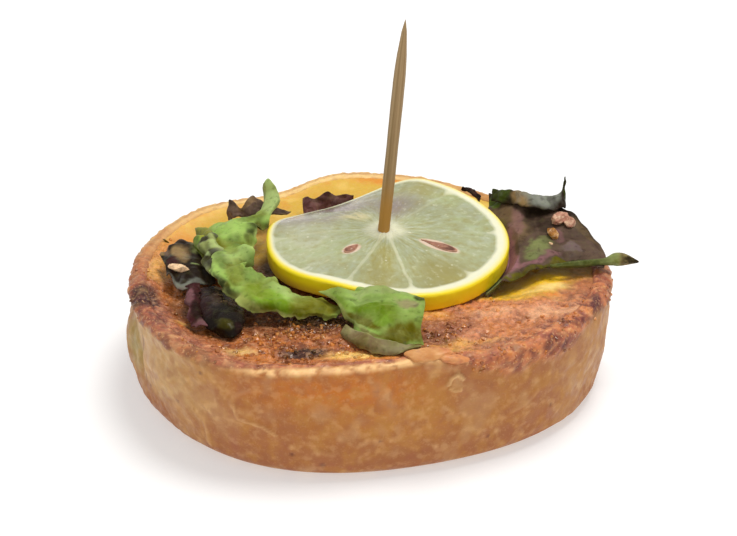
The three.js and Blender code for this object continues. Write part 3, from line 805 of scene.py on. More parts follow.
def crumb_cover(deg, z, arc_share, noise):
    """How much the browned crumb covers the case: all over the rim at the front right and left, not at the back."""
    around = np.mod(deg, 360)
    lower = np.interp(np.where(around < 10, around + 360, around), *np.array(CRUMB_LINE, float).T)
    right = np.clip(smooth(around, 287, 291) + (around < 12) * (1 - smooth(around, 4, 12)), 0, 1)
    right = right * smooth(z + 1.2 * noise, lower - 1.8, lower + 1)
    left = round_at(around, 205, 46) ** 0.5 * smooth(z + 1 * noise, 23.9, 25.4) * (1 - smooth(around, 236, 248))
    front_edge = lerp(0.2, 0.42, smooth(around, 238, 252))
    front = smooth(around, 225, 240) * (1 - smooth(around, 288, 292))
    front = front * smooth(arc_share + 0.12 * noise, front_edge, front_edge + 0.12) * (arc_share >= 0)
    return np.clip(np.maximum(np.maximum(right, left), front), 0, 1)


def baked_case(pastry):
    nominal, z0, rim, deg = turned_grid(case_section(), COLUMNS)
    r, z = to_outline(nominal, deg, z0)
    p = xyz(r * cosine(deg), r * sine(deg), z)
    slow, fine = ripple(p, 6, 3), ripple(p, 1.7, 5)
    cover = crumb_cover(deg, z, rim, 0.7 * slow + 0.6 * fine)
    near, between, chosen = grains(p + 0.5 * ripple(p, 3, 22, 1)[..., None], 1.25, 21)
    curd = domes(near, chosen, 0.3)
    near, _, chosen = grains(p, 2.6, 33)
    bubbles = bell(near, 0.34) * (chosen > 0.72)
    lines = sum(share * bell(line_distance(deg, z, line), half) for line, half, share in RIDGES)
    creases = bell(ripple(p * (1, 1, 1.6), 7, 41, 2), 0.13)
    fold = round_at(deg, 207.5, 1.3) * bell(z - 15, 8.5)
    on_wall = smooth(z, 0.6, 3) * (rim < 1.5) * (z0 > 0.01)
    on_rim = smooth(rim, 0.02, 0.1) * (rim <= 1)
    calm = 0.22 * slow + 0.1 * fine + pastry.wrinkle_height / MM * (lines + 0.35 * bubbles - 0.3 * creases)
    rough = pastry.crumb_height / MM * (0.7 * (curd - 0.5) + 0.8 * fine + 0.6 * slow) + 0.2
    height = on_wall * lerp(calm, rough, cover) * (1 - 0.6 * smooth(rim, 0.6, 1)) - 0.45 * fold * on_wall
    height = np.where(rim > 1.5, 0, height + on_rim * (1 - cover) * 0.25 * fine)
    normals = grid_normals(p, True)
    third = len(p) // 3
    outward = np.sum(normals[third] * (p[third] - p.mean((0, 1))), -1).mean() > 0
    p = p + normals * height[..., None] * (1 if outward else -1)
    p[..., 2] = np.where(z0 <= 0.01, 0, np.maximum(p[..., 2], 0))
    at = flat(deg=deg, z=z, rim=rim, cover=cover, curd=curd, between=between, bubbles=bubbles, lines=lines)
    at.fold, at.slow, at.fine, at.nominal = (grid.ravel() for grid in (fold, slow, fine, nominal))
    tint = case_colours(pastry, p.reshape(-1, 3), at)
    ends = [[0, 0, 0], [0, 0, FLOOR]]
    material = pastry_material(pastry)
    return add_turned("baked_case", p, ends, material, "pastry_case", "baked_pastry", tint=tint, crumbly=at.cover)


def case_colours(pastry, p, at):
    """The case's colours point by point."""
    z, rim, slow, fine, around = at.z, at.rim, at.slow, at.fine, np.mod(at.deg, 360)
    patchy, patchier = ripple(p, 3.6, 51, 4), ripple(p * (1, 1, 0.8), 8, 57, 3)
    coat = Coat(len(p), pastry, "biscuit")

    by = partial(round_at, around)
    coat.lay("khaki", 0.9 * by(212, 34) * smooth(z + 4 * slow, 5, 13))
    coat.lay("beige", 0.8 * by(210, 20) * bell(z - 17, 12))
    coat.lay("beige", 0.45 * by(334, 26) * smooth(z + 3 * slow, 2, 12))
    coat.lay("beige", 0.6 * by(120, 80) * smooth(z + 3 * slow, 4, 16))
    coat.lay("golden", 0.75 * by(283, 34) * bell(z - 14, 13))
    coat.lay("rosy", 0.65 * (1 - smooth(z + 3.5 * patchier, 2, 13)) * (1 - 0.6 * by(345, 40)))
    coat.lay("orange", 0.9 * by(264, 30) * bell(z + 0.8 * slow - 21.4, 6))
    coat.lay("orange", 0.2 * by(272, 40) * bell(z - 16, 10))
    coat.lay("golden", 0.5 * smooth(patchy, 0, 0.34) * (1 - 0.5 * by(212, 30)))
    coat.lay("rosy", 0.45 * smooth(-patchy, 0, 0.34))
    coat.lay("rosy", 0.6 * by(298, 14) * bell(z - 17, 7) * smooth(patchier, -0.3, 0.3))
    coat.lay("beige", 0.32 * smooth(patchier, 0.1, 0.45))
    coat.lay("toasted", 0.55 * by(239.5, 2) * bell(z - 7, 6))
    coat.lay("toasted", 0.25 * by(281, 2) * bell(z - 5.2, 2.5))
    coat.lay("olive", 0.9 * by(200.5, 8) * bell(z - 15, 9))
    # The fold's crease is painted darker: painted shade.
    coat.lay("scorched", 0.7 * at.fold)
    # The raised lines and bubbles of the wall are lit cream: painted highlight.
    coat.lay("cream", 0.34 * np.clip(at.lines, 0, 2) + 0.3 * at.bubbles)
    coat.lay("beige", 0.5 * (1 - smooth(z, 0.5, 1.6)) * (at.nominal > 47))
    for deg, height, radius in SPECKS:
        far = np.hypot(turn(deg, around) * MM_PER_DEGREE, z - height)
        coat.lay("scorched", 0.75 * bell(far, radius * 1.6))
    # The rim: a cream crest at the front, buttery at the back and sides.
    share = np.where((rim >= 0) & (rim <= 1), rim, -1)
    coat.lay("buttery", 0.9 * bell(share - 0.3, 0.3) * (share >= 0) * by(115, 80) ** 0.5)
    coat.lay("buttery", 0.9 * smooth(share, 0.45, 0.75) * by(120, 75) ** 0.5)
    coat.lay("golden", 0.2 * smooth(share, 0.6, 0.85) * by(140, 40) ** 0.5)
    coat.lay("amber", 0.25 * smooth(share + 0.2 * slow, 0.5, 0.8) * by(158, 22))
    cream_line = bell(share - 0.33 - 0.07 * slow, 0.27) * (share >= 0) * smooth(fine + 0.5 * patchy, -0.8, 0.1)
    coat.lay("cream", 0.95 * cream_line * np.minimum(2 * by(264, 32), 1))
    coat.lay(crumb_colours(pastry, p, around, at), at.cover)
    return coat.lay("beige", 0.6 * (rim > 1.5)).colours


def crumb_colours(pastry, p, around, at):
    """The colours of the browned crumb, which the rim and the filling beside it share."""
    patchy, blotch = ripple(p, 3.6, 51, 4), ripple(p, 2.6, 63, 3)
    by = partial(round_at, around)
    left = by(205, 50) ** 0.5
    brown = Coat(len(p), pastry, "toasted")
    brown.lay("amber", 0.8 * by(320, 60) * smooth(patchy + 0.5 * blotch, -0.3, 0.25))
    brown.lay("amber", (0.6 - 0.3 * left) * smooth(0.6 * at.curd + 0.6 * at.fine + 0.6 * blotch, 0.2, 0.8))
    brown.lay("amber", 0.55 * by(168, 24))
    brown.lay("orange", (0.5 - 0.25 * left) * smooth(blotch + 0.3 * patchy, 0.2, 0.5))
    brown.lay("rosy", 0.5 * smooth(-blotch, 0, 0.4))
    # Cream on the high points of the crumb is a painted highlight, and the darker brown between its grains painted
    # shade.
    brown.lay("cream", 0.35 * smooth(at.fine + 0.5 * at.curd, 0.55, 0.9))
    brown.shade(1 - 0.3 * bell(at.between, 0.25) * smooth(-at.fine, -0.3, 0.3))
    spots = 1.3 * by(202.4, 9) + 0.8 * by(231, 12) + 0.9 * by(325, 22) + 0.6 * by(212, 16) + 1.9 * by(337, 13)
    spots = (spots + 0.3 * (1 - by(270, 50))) * smooth(outline_share(p[:, 0], p[:, 1]), 0.9, 0.94)
    brown.lay("scorched", 0.8 * np.clip(spots, 0, 1) * smooth(ripple(p, 2.8, 61, 3), -0.1, 0.36))
    ragged = 1.5 * ripple(p, 2.4, 65)
    for x, y, across, deep, darker in DARK_SPOTS:
        inside = 1 - smooth(np.hypot((p[:, 0] - x + ragged) / across, (p[:, 1] - y) / deep), 0.6, 1.1)
        brown.lay("scorched", inside).shade(1 - darker * inside)
    # The scorched brown where the fine relief sinks is painted shade, broken up by random patches.
    return brown.lay("scorched", 0.4 * smooth(-at.fine - 0.4 * patchy, 0.25, 0.55)).colours


def pastry_material(pastry):
    material, build = new_material("baked_pastry")
    crumbly = build.layer("crumbly")
    freckles = build.math("MULTIPLY_ADD", crumbly, 0.3, 0.1)
    mottle = build.mottle(pastry.cream, pastry.toasted, 420, 0.18, freckles)
    pits = build.span(build.cells(build.here(), 900), 0.25, 0.05)
    height = build.math("SUBTRACT", mottle["Height"], build.times(pits, 0.3))
    colour = build.mix(build.times(pits, 0.2), mottle["Colour"], pastry.toasted)
    rough = build.math("SUBTRACT", build.glisten(0.6, 0.38, 320), build.times(crumbly, 0.08))
    soft = (0.08, (1, 0.5, 0.25), 1)
    finish_material(build, colour, rough, height, 0.5, 0.16, soft, Specular_IOR_Level=0.22)
    return material


def rim_flake(pastry):
    """The flake of pale pastry that lies over the front of the rim."""
    long_part = pebble((12.3, -45, 26.9), (4.7, 1.9, 0.8), (22, -2, 3), 71, 0.25)
    short_part = pebble((17.3, -45.4, 26.2), (2.9, 1.2, 0.7), (20, 8, 12), 72, 0.3)
    start = len(long_part[0])
    pairs = zip(long_part, short_part, (0, start, start))
    points, quads, triangles = (np.concatenate([first, second + shift]) for first, second, shift in pairs)
    coat = Coat(len(points), pastry, "flake")
    coat.lay("cream", 0.4 * smooth(ripple(points, 1.8, 73), 0, 0.5) * (points[:, 0] < 15))
    coat.lay("amber", 0.6 * smooth(points[:, 0], 13.5, 16))
    coat.lay("toasted", 0.5 * smooth(-ripple(points, 1.4, 75), 0.1, 0.4))
    mesh = new_mesh("rim_flake", points, quads, triangles, tint=coat.colours, crumbly=np.zeros(len(points)))
    return add_piece("rim_flake", mesh, bpy.data.objects["baked_case"].active_material)


def pebble(centre, radii, turned_by, seed, uneven=0.2, rings=22, columns=36, facets=0):
    """(points, quads, triangles) of an uneven closed lump, with flat broken facets if asked."""
    polar = np.linspace(0, math.pi, rings + 2)[1:-1][:, None]
    around = np.linspace(0, 2 * math.pi, columns, endpoint=False)[None, :]
    ball = xyz(np.sin(polar) * np.cos(around), np.sin(polar) * np.sin(around), np.cos(polar))
    ball = np.concatenate([ball.reshape(-1, 3), [[0, 0, 1], [0, 0, -1]]])
    p = ball * (1 + uneven * ripple(ball + seed, 0.9, seed, 3))[:, None]
    for n in range(facets):
        away = unit(np.array([scrambled(np.array([[n, seed, 5]]), k)[0] * 2 - 1 for k in (1, 2, 3)]))
        p = p - away * np.maximum(p @ away - 0.72, 0)[:, None] * 0.9
    angles = (math.radians(a) for a in turned_by)
    p = p * np.array(radii) @ np.array(Euler(angles).to_matrix()).T + np.array(centre)
    return p, *turned_faces(rings, columns)


# ---------------- filling

# Patches of the filling: x, y, half-width across, half-width in depth, colour and strength. The umber and shade
# patches are painted shade beside the lemon and under the leaves; the chestnut patches next to them are painted shade
# as well as browning.
FILLING_PATCHES = [
    (-45, 4, 6, 13, "tangerine", 0.9), (-42, 12, 9, 9, "tangerine", 0.5), (4.7, 50, 13, 4, "tangerine", 0.75),
    (-23, -5, 9, 14, "umber", 0.95), (-17, -27, 17, 8, "chestnut", 0.8), (-4, -29, 15, 7, "chestnut", 0.85),
    (-8, -26, 16, 5.5, "shade", 0.95), (-30, -18, 13, 12, "chestnut", 0.85), (-39, -20, 7, 12, "chestnut", 0.6),
    (-41, -29, 3.5, 3, "tangerine", 0.7), (-1.7, -42.6, 10, 3.6, "tangerine", 0.8), (-2.7, -42.2, 8, 3, "saffron", 1),
    (6, -43.6, 9, 2.4, "tangerine", 0.7), (-26, -39.6, 5, 2.6, "pale", 0.6), (-22, -42.4, 6, 2, "tangerine", 0.6),
    (12.5, -24.5, 7, 5, "saffron", 0.8), (14.5, -26.5, 8, 4, "tangerine", 0.8), (18.5, -35.6, 5, 2.6, "saffron", 0.6),
    (26.8, -35.6, 7, 2.6, "saffron", 0.6), (31, -13, 11, 4.5, "mustard", 0.9), (42, -7.5, 9, 4, "mustard", 0.95),
    (35, -14, 9, 2.2, "yolk", 0.8), (41.1, -10.2, 4.2, 2.2, "pale", 1), (37.5, -12, 5, 1.4, "pale", 0.7),
    (42.5, -14.6, 6, 1.6, "tangerine", 1), (-40.4, -18, 5, 5, "shade", 0.75), (-39.3, -26, 2.6, 1.8, "saffron", 0.85),
    (-12.2, -40.4, 7.4, 3.1, "burnt", 1), (-2.4, -42, 5.5, 2.2, "pale", 0.6), (9, -41.5, 4, 1.6, "burnt", 0.5),
    (16.5, -28.5, 9, 5, "plum", 0.75), (13.5, -34, 6, 4.5, "chestnut", 0.75), (29, -37.5, 9, 4, "plum", 0.7),
    (36, -33, 6, 3, "plum", 0.5), (22, -23.5, 6, 3, "plum", 0.5), (28.5, -28.5, 7, 4, "caramel", 0.35),
    # The blush patches on this line are partly painted highlight on the glossy curds, partly their pale colour.
    (26, -22.5, 7, 3, "blush", 0.5), (39.5, -24, 7, 5, "blush", 0.95), (17.5, -39, 7, 2.4, "saffron", 0.6),
    (43.5, -18, 4, 1.6, "pale", 0.7), (48.5, -11, 3.5, 5, "caramel", 0.8),
]
# The same where the browned crumb of the rim runs onto the filling.
EDGE_PATCHES = [(-47, -2, 3.6, 8, "saffron", 0.8), (-46.6, -2, 2.6, 6, "tangerine", 0.4)]
EDGE_PATCHES += [(43.5, -23.6, 6.5, 2.6, "blush", 0.7)]
# The height of the filling's hidden floor, and how many points go round the filling.
UNDERSIDE, ROUND_POINTS = FLOOR + 0.4, 640
# How much of the filling and of the rim is browned, about, in square metres.
BROWNED_AREA, CRUMB_AREA = 2400e-6, 1500e-6


def browned(x, y, noise):
    """0 where the filling stayed yellow, at the back, and 1 where it browned, at the front."""
    line = -2 + 14 * smooth(x, -30, -46) - 12 * smooth(x, 18, 34)
    return smooth(line - y + 5 * noise, -6, 6)


def curdled_share(x, y):
    """How coarse the curds are: coarse at the front, between the leaves and the rim, and fine elsewhere."""
    front = bell(np.hypot((x + 14) / 1.5, y + 35), 13)
    return np.clip(1.3 * front + 0.5 * bell(np.hypot(x - 18, y + 31), 9), 0, 1)


def filling_top(x, y):
    """The filling's top as it shows: it laps up to the rim with no groove."""
    rim = RIM_HEIGHT + rim_rise(heading(x, y)) - SHELF_DROP + 0.3
    return lerp(custard_top(x, y), rim, smooth(outline_share(x, y), 0.82, INNER_SHARE))


def egg_filling(filling, pastry):
    inner = INNER_RADIUS + 0.25
    shares = np.concatenate([np.linspace(0.012, 0.42, 26)[:-1], np.linspace(0.42, 1, 100)])[::-1]
    section = [(10, UNDERSIDE, 0), (30, UNDERSIDE, 0), (inner - 1.4, UNDERSIDE, 0)]
    section += [(inner - 0.4, 12, 0), (inner - 0.1, 20, 0), *((inner * s, RIM_HEIGHT, 1) for s in shares)]
    nominal, z0, top, deg = turned_grid(section, ROUND_POINTS)
    r, z = to_outline(nominal, deg, z0)
    x, y = r * cosine(deg), r * sine(deg)
    p = xyz(x, y, np.where(top > 0, filling_top(x, y), z))
    noise, fine, broad = ripple(p, 9, 81), ripple(p, 1.2, 83), ripple(p, 4.5, 87)
    brown = browned(x, y, noise)
    near, between, chosen = grains(p + 0.35 * noise[..., None], 1.5, 91)
    small_near, _, small_chosen = grains(p + 0.35 * noise[..., None], 0.85, 97)
    curd, small = domes(near, chosen, 0.25), domes(small_near, small_chosen, 0.25)
    lumpy = (0.8 * curd + 0.6 * small - 0.55) * lerp(0.4, 1, curdled_share(x, y))
    rough = filling.grain_height / MM * (lumpy + 0.7 * fine + 1.2 * broad)
    near, _, chosen = grains(p, 3.4, 101)
    pits = bell(near, 0.3) * (chosen > 0.6)
    skin = 0.12 * broad + 0.05 * fine - 0.35 * pits
    away_from_rim = 1 - smooth(outline_share(x, y), 0.965, 0.99)
    p[..., 2] += top * lerp(skin, rough, brown) * lerp(0.4, 1, away_from_rim)
    at = flat(brown=brown, curd=curd, small=small, between=between, fine=fine, noise=noise, pits=pits)
    tint = filling_colours(filling, pastry, p.reshape(-1, 3), at)
    ends = [[0, 0, UNDERSIDE], [0, 0, p[-1, :, 2].mean()]]
    layers = {"tint": tint, "browned": at.brown}
    return add_turned("egg_filling", p, ends, filling_material(filling), "custard_filling", "baked_custard", **layers)


def filling_colours(filling, pastry, p, at):
    x, y, noise, brown = p[:, 0], p[:, 1], at.noise, at.brown
    share, deg = outline_share(x, y), heading(x, y)
    coat = Coat(len(p), filling, "yolk")
    coat.lay("pale", 0.3 * smooth(ripple(p, 7, 111), 0, 0.4))
    coat.lay("tangerine", 0.35 * smooth(ripple(p, 7, 113), 0.15, 0.5) + 0.15 * at.pits)
    coat.lay("tangerine", 0.4 * smooth(share, 0.84, 0.94) * smooth(ripple(p, 4, 115), -0.3, 0.3))
    rosy_side = smooth(x + 4 * noise, 6, 24)
    swirl, speckle = ripple(p, 3.4, 117, 4), ripple(p, 1.3, 118, 2)
    top = Coat(len(p), filling, "caramel")
    top.lay("peach", 0.85 * rosy_side)
    top.lay("tangerine", 0.65 * smooth(swirl, 0.05, 0.35))
    top.lay("chestnut", 0.75 * smooth(-swirl, 0.08, 0.4) * (1 - 0.35 * rosy_side))
    # Peach where the curds stand high is partly a painted highlight, and chestnut where they sink partly painted shade;
    # both also follow a random speckle.
    top.lay("peach", 0.55 * smooth(0.6 * at.curd + 0.7 * speckle, 0.5, 0.9))
    top.lay("chestnut", 0.5 * smooth(-speckle - 0.3 * at.curd, -0.05, 0.4))
    coat.lay(top.colours, brown)
    ragged, ragged_deep = 1.6 * ripple(p, 2.6, 121), 0.9 * ripple(p, 2.2, 123)

    def lay_patches(patches):
        for px, py, across, deep, name, strength in patches:
            far = np.hypot((x - px + ragged) / across, (y - py + ragged_deep) / deep)
            coat.lay(name, strength * (1 - smooth(far, 0.35, 1.05)))

    lay_patches(FILLING_PATCHES)
    left = round_at(deg, 208, 40) ** 0.5
    coat.lay("tangerine", 0.7 * left * smooth(share + 0.04 * noise, 0.74, 0.84) * smooth(y, -32, 0))
    browned_rim = np.maximum(left, round_at(deg, 326, 42) ** 0.5)
    starts = 0.83 + 0.06 * round_at(deg, 172, 30) - 0.05 * round_at(deg, 345, 26)
    near_rim = smooth(share + 0.05 * swirl, starts, starts + 0.07) * browned_rim
    coat.lay(crumb_colours(pastry, p, np.mod(deg, 360), at), near_rim)
    lay_patches(EDGE_PATCHES)
    back = smooth(share + 0.03 * noise, 0.84, 0.94) * round_at(deg, 140, 48) ** 0.5
    coat.lay("pale", 0.45 * back)
    coat.lay("tangerine", 0.35 * back * smooth(swirl, -0.2, 0.3))
    # The browned filling is darker in the crevices between its curds: painted shade.
    return coat.shade(1 - 0.3 * brown * bell(at.between, 0.26) * (0.4 + 0.6 * at.small)).colours


def filling_material(filling):
    material, build = new_material("baked_custard")
    brown = build.layer("browned")
    blotches, freckles = build.times(brown, 0.3), build.times(brown, 0.42)
    mottle = build.mottle(filling.blush, filling.chestnut, 650, blotches, freckles)
    unbrowned = build.times(build.math("SUBTRACT", 1, brown), 0.2)
    rough = build.math("ADD", build.glisten(0.5, 0.22, 900), unbrowned)
    soft = (0.12, (1, 0.5, 0.2), 1.2)
    finish_material(build, mottle["Colour"], rough, mottle["Height"], 0.6, 0.3, soft, Specular_IOR_Level=0.36)
    return material


def grain_material(filling):
    material, build = new_material("browned_grain")
    shade = build.layer("grain_shade")
    colour = build.mix(build.span(shade, 0, 0.35, 0.55, 0), build.layer("tint", "Color"), filling.chestnut)
    colour = build.mix(build.span(shade, 0.5, 1, 0, 0.6), colour, filling.tangerine)
    mottle = build.mottle(filling.pale, filling.chestnut, 1500, 0.2, 0.2, colour)
    finish_material(build, mottle["Colour"], 0.22, mottle["Height"], 0.3, 0.1, Specular_IOR_Level=0.55)
    return material


def scatter_tree(material, count, smallest, largest, seed):
    """Grains scattered over a surface where its layer called sown is high, each with a shade of its own."""
    inputs = [("Grains", WHOLE, int(count)), ("Smallest", NUMBER, smallest * MM), ("Largest", NUMBER, largest * MM)]
    build = ShapeTree("Scattered grains", [*inputs, ("Seed", WHOLE, seed), ("Material", MATERIAL, material)])
    given = build.given
    sown = build.shape("InputNamedAttribute", {"Name": "sown"}, "Attribute", data_type="FLOAT")
    sowing = {"Mesh": given["Geometry"], "Density": build.times(sown, given["Grains"]), "Seed": given["Seed"]}
    points = build.shape("DistributePointsOnFaces", sowing, "Points", distribute_method="RANDOM")
    lump = build.shape("MeshIcoSphere", {"Radius": 0.5, "Subdivisions": 2}, "Mesh")
    rough = build.node("ShaderNodeTexNoise", {"Scale": 1.6, "Detail": 2}).outputs["Color"]
    pushed = build.node("ShaderNodeVectorMath", {0: rough, 1: (0.5, 0.5, 0.5)}, operation="SUBTRACT").outputs[0]
    grain = {"Points": points, "Instance": build.shape("SetPosition", {"Geometry": lump, "Offset": pushed})}
    grain["Rotation"] = build.random((0, 0, 0), (6.28, 6.28, 6.28), given["Seed"], "FLOAT_VECTOR")
    grain["Scale"] = build.random(given["Smallest"], given["Largest"], given["Seed"])
    placed = build.shape("InstanceOnPoints", grain, "Instances")
    shade = {"Geometry": placed, "Name": "grain_shade", "Value": build.random(0, 1, 5)}
    shaded = build.shape("StoreNamedAttribute", shade, data_type="FLOAT", domain="INSTANCE")
    return build.finish(build.shape("RealizeInstances", {"Geometry": shaded}))


def sow(name, piece, sown, tree):
    """Adds the grains that a tree scatters over a piece, as densely as sown says for each of its points."""
    mesh = piece.data.copy()
    add_layer(mesh, "sown", sown)
    return add_piece(name, tree.run(name, add_object("sown", mesh)))


def mesh_points(mesh):
    """The points of a mesh, in millimetres."""
    co = np.empty(len(mesh.vertices) * 3, np.float32)
    mesh.vertices.foreach_get("co", co)
    return co.reshape(-1, 3).astype(float) / MM


def scatter_grains(filling):
    """Browned grains on the filling and crumbs on the rim."""
    material = grain_material(filling)
    custard, case = bpy.data.objects["egg_filling"], bpy.data.objects["baked_case"]
    p = mesh_points(custard.data)
    x, y, z = p.T
    brown = browned(x, y, ripple(p, 9, 81)) * (z > 20) * smooth(ripple(p, 6, 131), -0.35, 0.35)
    sown = brown * (0.12 + 2.6 * curdled_share(x, y)) * (outline_share(x, y) < 0.95)
    # Few grains fall on the bright patch and on the burnt spot.
    sown = sown * (1 - 0.8 * bell(np.hypot(x - 14.5, y + 24.5), 7))
    sown = sown * (1 - 0.9 * bell(np.hypot(x + 11.8, 2 * y + 81.2), 6))
    grains_tree = scatter_tree(material, filling.grain_count, 0.35, 1.25, 3)
    sow("filling_grains", custard, sown / BROWNED_AREA, grains_tree)
    p = mesh_points(case.data)
    x, y, z = p.T
    around = np.mod(heading(x, y), 360)
    cover = np.empty(len(p), np.float32)
    case.data.attributes["crumbly"].data.foreach_get("value", cover)
    thick = 0.35 + 0.65 * smooth(around, 284, 296) - 0.3 * smooth(around, 345, 359)
    sown = cover * np.where(around < 60, 0.4, thick) * smooth(ripple(p, 4, 137), -0.4, 0.3) * (z > 19)
    crumbs_tree = scatter_tree(material, filling.grain_count * 0.5, 0.3, 0.8, 8)
    sow("rim_crumbs", case, sown / CRUMB_AREA, crumbs_tree)


# ---------------- lemon slice and pips

# The walls between the segments: heading, how clearly each shows and how wide it grows where it meets the pith.
MEMBRANES = [(4, 0.1, 1), (51, 0.14, 0.9), (88, 0.06, 0.3), (122, 0.05, 0.1), (159, 0.04, 0.1)]
MEMBRANES += [(188, 0.12, 0.3), (224, 0.05, 0.3), (249, 0.3, 0.4), (283, 0.44, 1), (319, 0.07, 0.9)]
LEMON_BEVEL = 0.7


def lemon_section():
    """[radius, height, 1 on the cut face] of the slice's section, from its underside to the middle of its top."""
    side, bottom = LEMON_RADIUS - LEMON_BEVEL, LEMON_BEVEL - LEMON_THICKNESS
    section = [(r, -LEMON_THICKNESS, 0) for r in (3, 10, 18, 24)]
    section += [(r, z, 0) for r, z in arc(side, bottom, LEMON_BEVEL, -90, 0, 6)]
    section += [(LEMON_RADIUS, z, 0) for z in np.linspace(bottom, -LEMON_BEVEL, 8)[1:-1]]
    section += [(r, z, 0) for r, z in arc(side, -LEMON_BEVEL, LEMON_BEVEL, 0, 90, 8)]
    return section + [(share * side, 0, 1) for share in np.linspace(0.02, 1, 92)[::-1][1:]]


def lemon_round(lemon):
    nominal, z0, top, deg = turned_grid(lemon_section(), 420)
    r = nominal * lemon_edge(deg) / LEMON_RADIUS
    x, y = LEMON_CENTRE[0] + r * cosine(deg), LEMON_CENTRE[1] + r * sine(deg)
    z = lemon_top(x, y) + z0
    z = np.where(z0 < -LEMON_THICKNESS / 2, np.maximum(z, ground_level(x, y) + 0.3), z)
    p = xyz(x, y, z)
    marks = lemon_marks(lemon, p, r, deg, z0)
    juicy = marks.pulp * (1 - marks.membrane)
    relief = -0.2 * juicy + 0.1 * marks.vesicle * marks.pulp + 0.1 * marks.core
    side = smooth(-z0, 0.2, 0.8) * (nominal > 26)
    p = p - xyz(cosine(deg), sine(deg), 0) * (0.14 * bell(grains(p, 1.5, 151)[0], 0.45) * side)[..., None]
    p[..., 2] += top * relief
    tint = lemon_colours(lemon, flat(**vars(marks), deg=deg, z0=z0), p.reshape(-1, 3))
    line = xyz(np.radians(turn(MEMBRANES[0][0], deg)) * 9, r * 0.35, 0).reshape(-1, 3)
    ends = [[*LEMON_CENTRE[:2], p[row, :, 2].mean()] for row in (0, -1)]
    layers = {"tint": tint, "pulp_line": line, "juicy": juicy.ravel()}
    return add_turned("lemon_round", p, ends, lemon_material(lemon), "lemon_slice", "lemon_flesh", **layers)


def lemon_marks(lemon, p, r, deg, z0):
    """Masks of what a cut lemon shows, over the slice's points."""
    share = r / lemon_edge(deg)
    wobble = ripple(p, 5, 161)
    width = lemon.membrane_width / MM / 2
    membrane = np.zeros(r.shape)
    for n, (at, clear, flared) in enumerate(MEMBRANES):
        bend = 3 * math.sin(2.1 * n) * (1 - share)
        across = np.abs(turn(at + bend, deg + 1.5 * wobble)) * np.pi / 180 * r
        flare = 1.9 * flared * smooth(share, 0.8, 0.94) ** 2 + 0.5 * (1 - smooth(r, 2, 7))
        reach = width * 1.7 + flare
        shows = lerp(clear, flared, smooth(share, 0.8, 0.92))
        membrane = np.maximum(membrane, (1 - smooth(across, 0.3 * reach, 1.4 * reach)) * shows)
    pith_line = 0.9 + 0.012 * wobble + 0.045 * round_at(deg, 180, 80) + 0.03 * round_at(deg, 85, 60)
    pulp = (1 - smooth(share, pith_line - 0.02, pith_line + 0.018)) * (1 - smooth(-z0, 0.05, 0.3))
    core = 1 - smooth(r + 1.2 * wobble, 1.8, 6.2)
    vesicle = ripple(xyz(np.radians(deg) * 9, r * 0.28, 3), 1, 167, 3)
    return SimpleNamespace(share=share, membrane=membrane, pulp=pulp, core=core, vesicle=vesicle, wobble=wobble)


def lemon_colours(lemon, marks, p):
    share, vesicle, z0 = marks.share, marks.vesicle, marks.z0
    by = partial(round_at, marks.deg)
    coat = Coat(len(p), lemon, "rind")
    # The low part of the rind's side is painted in shade: deeper yellow round the front and olive at the lower left.
    coat.lay("rind_shadow", 0.8 * smooth(-z0, 0.8, 3.6) * by(265, 110))
    coat.lay("pulp_olive", 0.55 * smooth(-z0, 1.2, 3.8) * by(212, 50))
    coat.lay("pith", 0.35 * by(85, 80) * (1 - smooth(-z0, 0, 1)))
    on_top = 1 - smooth(-z0, 0.02, 0.2)
    edge = 0.972 + 0.006 * marks.wobble
    coat.lay("pith", on_top * (1 - smooth(share, edge - 0.03, edge + 0.016)))
    coat.lay("pith", 0.4 * on_top * by(340, 60) * smooth(share, 0.93, 0.96))
    underneath = (z0 < -LEMON_THICKNESS + 0.02) * (1 - smooth(share, 0.95, 0.97))
    coat.lay("pith", underneath)
    flesh = Coat(len(p), lemon, "pulp")
    cloudy = ripple(p, 9, 169, 3)
    flesh.lay("pulp_grey", 0.5 * smooth(vesicle, 0, 0.5))
    flesh.lay("pulp_olive", 0.35 * smooth(-vesicle, 0.05, 0.5))
    flesh.lay("pulp_green", 0.7 * by(205, 32) * bell(share - 0.62, 0.4) * smooth(cloudy, -0.4, 0.2))
    flesh.lay("pulp_olive", 0.6 * by(266, 20) * smooth(share, 0.15, 0.4))
    flesh.lay("pulp_olive", 0.75 * by(306, 30) * smooth(share, 0.35, 0.75))
    flesh.lay("pulp_olive", 0.6 * by(66, 18) * smooth(share, 0.6, 0.8))
    flesh.lay("pulp_green", 0.45 * by(30, 40) * smooth(share, 0.2, 0.7) * smooth(cloudy, -0.3, 0.3))
    flesh.lay("pith", 0.3 * by(195, 55) * smooth(share, 0.2, 0.7) * smooth(-cloudy, -0.4, 0.3))
    # Lilac is painted see-through light: the purple leaf under the back of the slice showing through the flesh.
    flesh.lay("lilac", 0.95 * by(138, 52) ** 0.7 * smooth(share, 0.3, 0.6) * smooth(cloudy, -0.7, 0.1))
    flesh.lay("lilac", 0.85 * by(82, 40) * bell(share - 0.42, 0.4))
    flesh.lay("straw", 0.85 * by(137, 26) * bell(share - 0.36, 0.2) * smooth(vesicle + cloudy, -0.5, 0.1))
    flesh.shade(1 + 0.2 * cloudy)
    flesh.lay("pith", 0.85 * marks.membrane)
    flesh.lay("pith", 0.8 * marks.core)
    for distance, at, length, width in PIPS:
        c, s = math.cos(math.radians(at)), math.sin(math.radians(at))
        dx, dy = p[:, 0] - LEMON_CENTRE[0] - distance * c, p[:, 1] - LEMON_CENTRE[1] - distance * s
        along, across = (dx * c + dy * s) / (length / 2 + 0.5), (dy * c - dx * s) / (width / 2 + 0.5)
        flesh.lay("hollow", 0.9 * (1 - smooth(np.hypot(along, across), 0.9, 1.12)))
    return coat.lay(flesh.colours, np.where(underneath > 0.5, 1 - smooth(share, 0.87, 0.9), marks.pulp)).colours


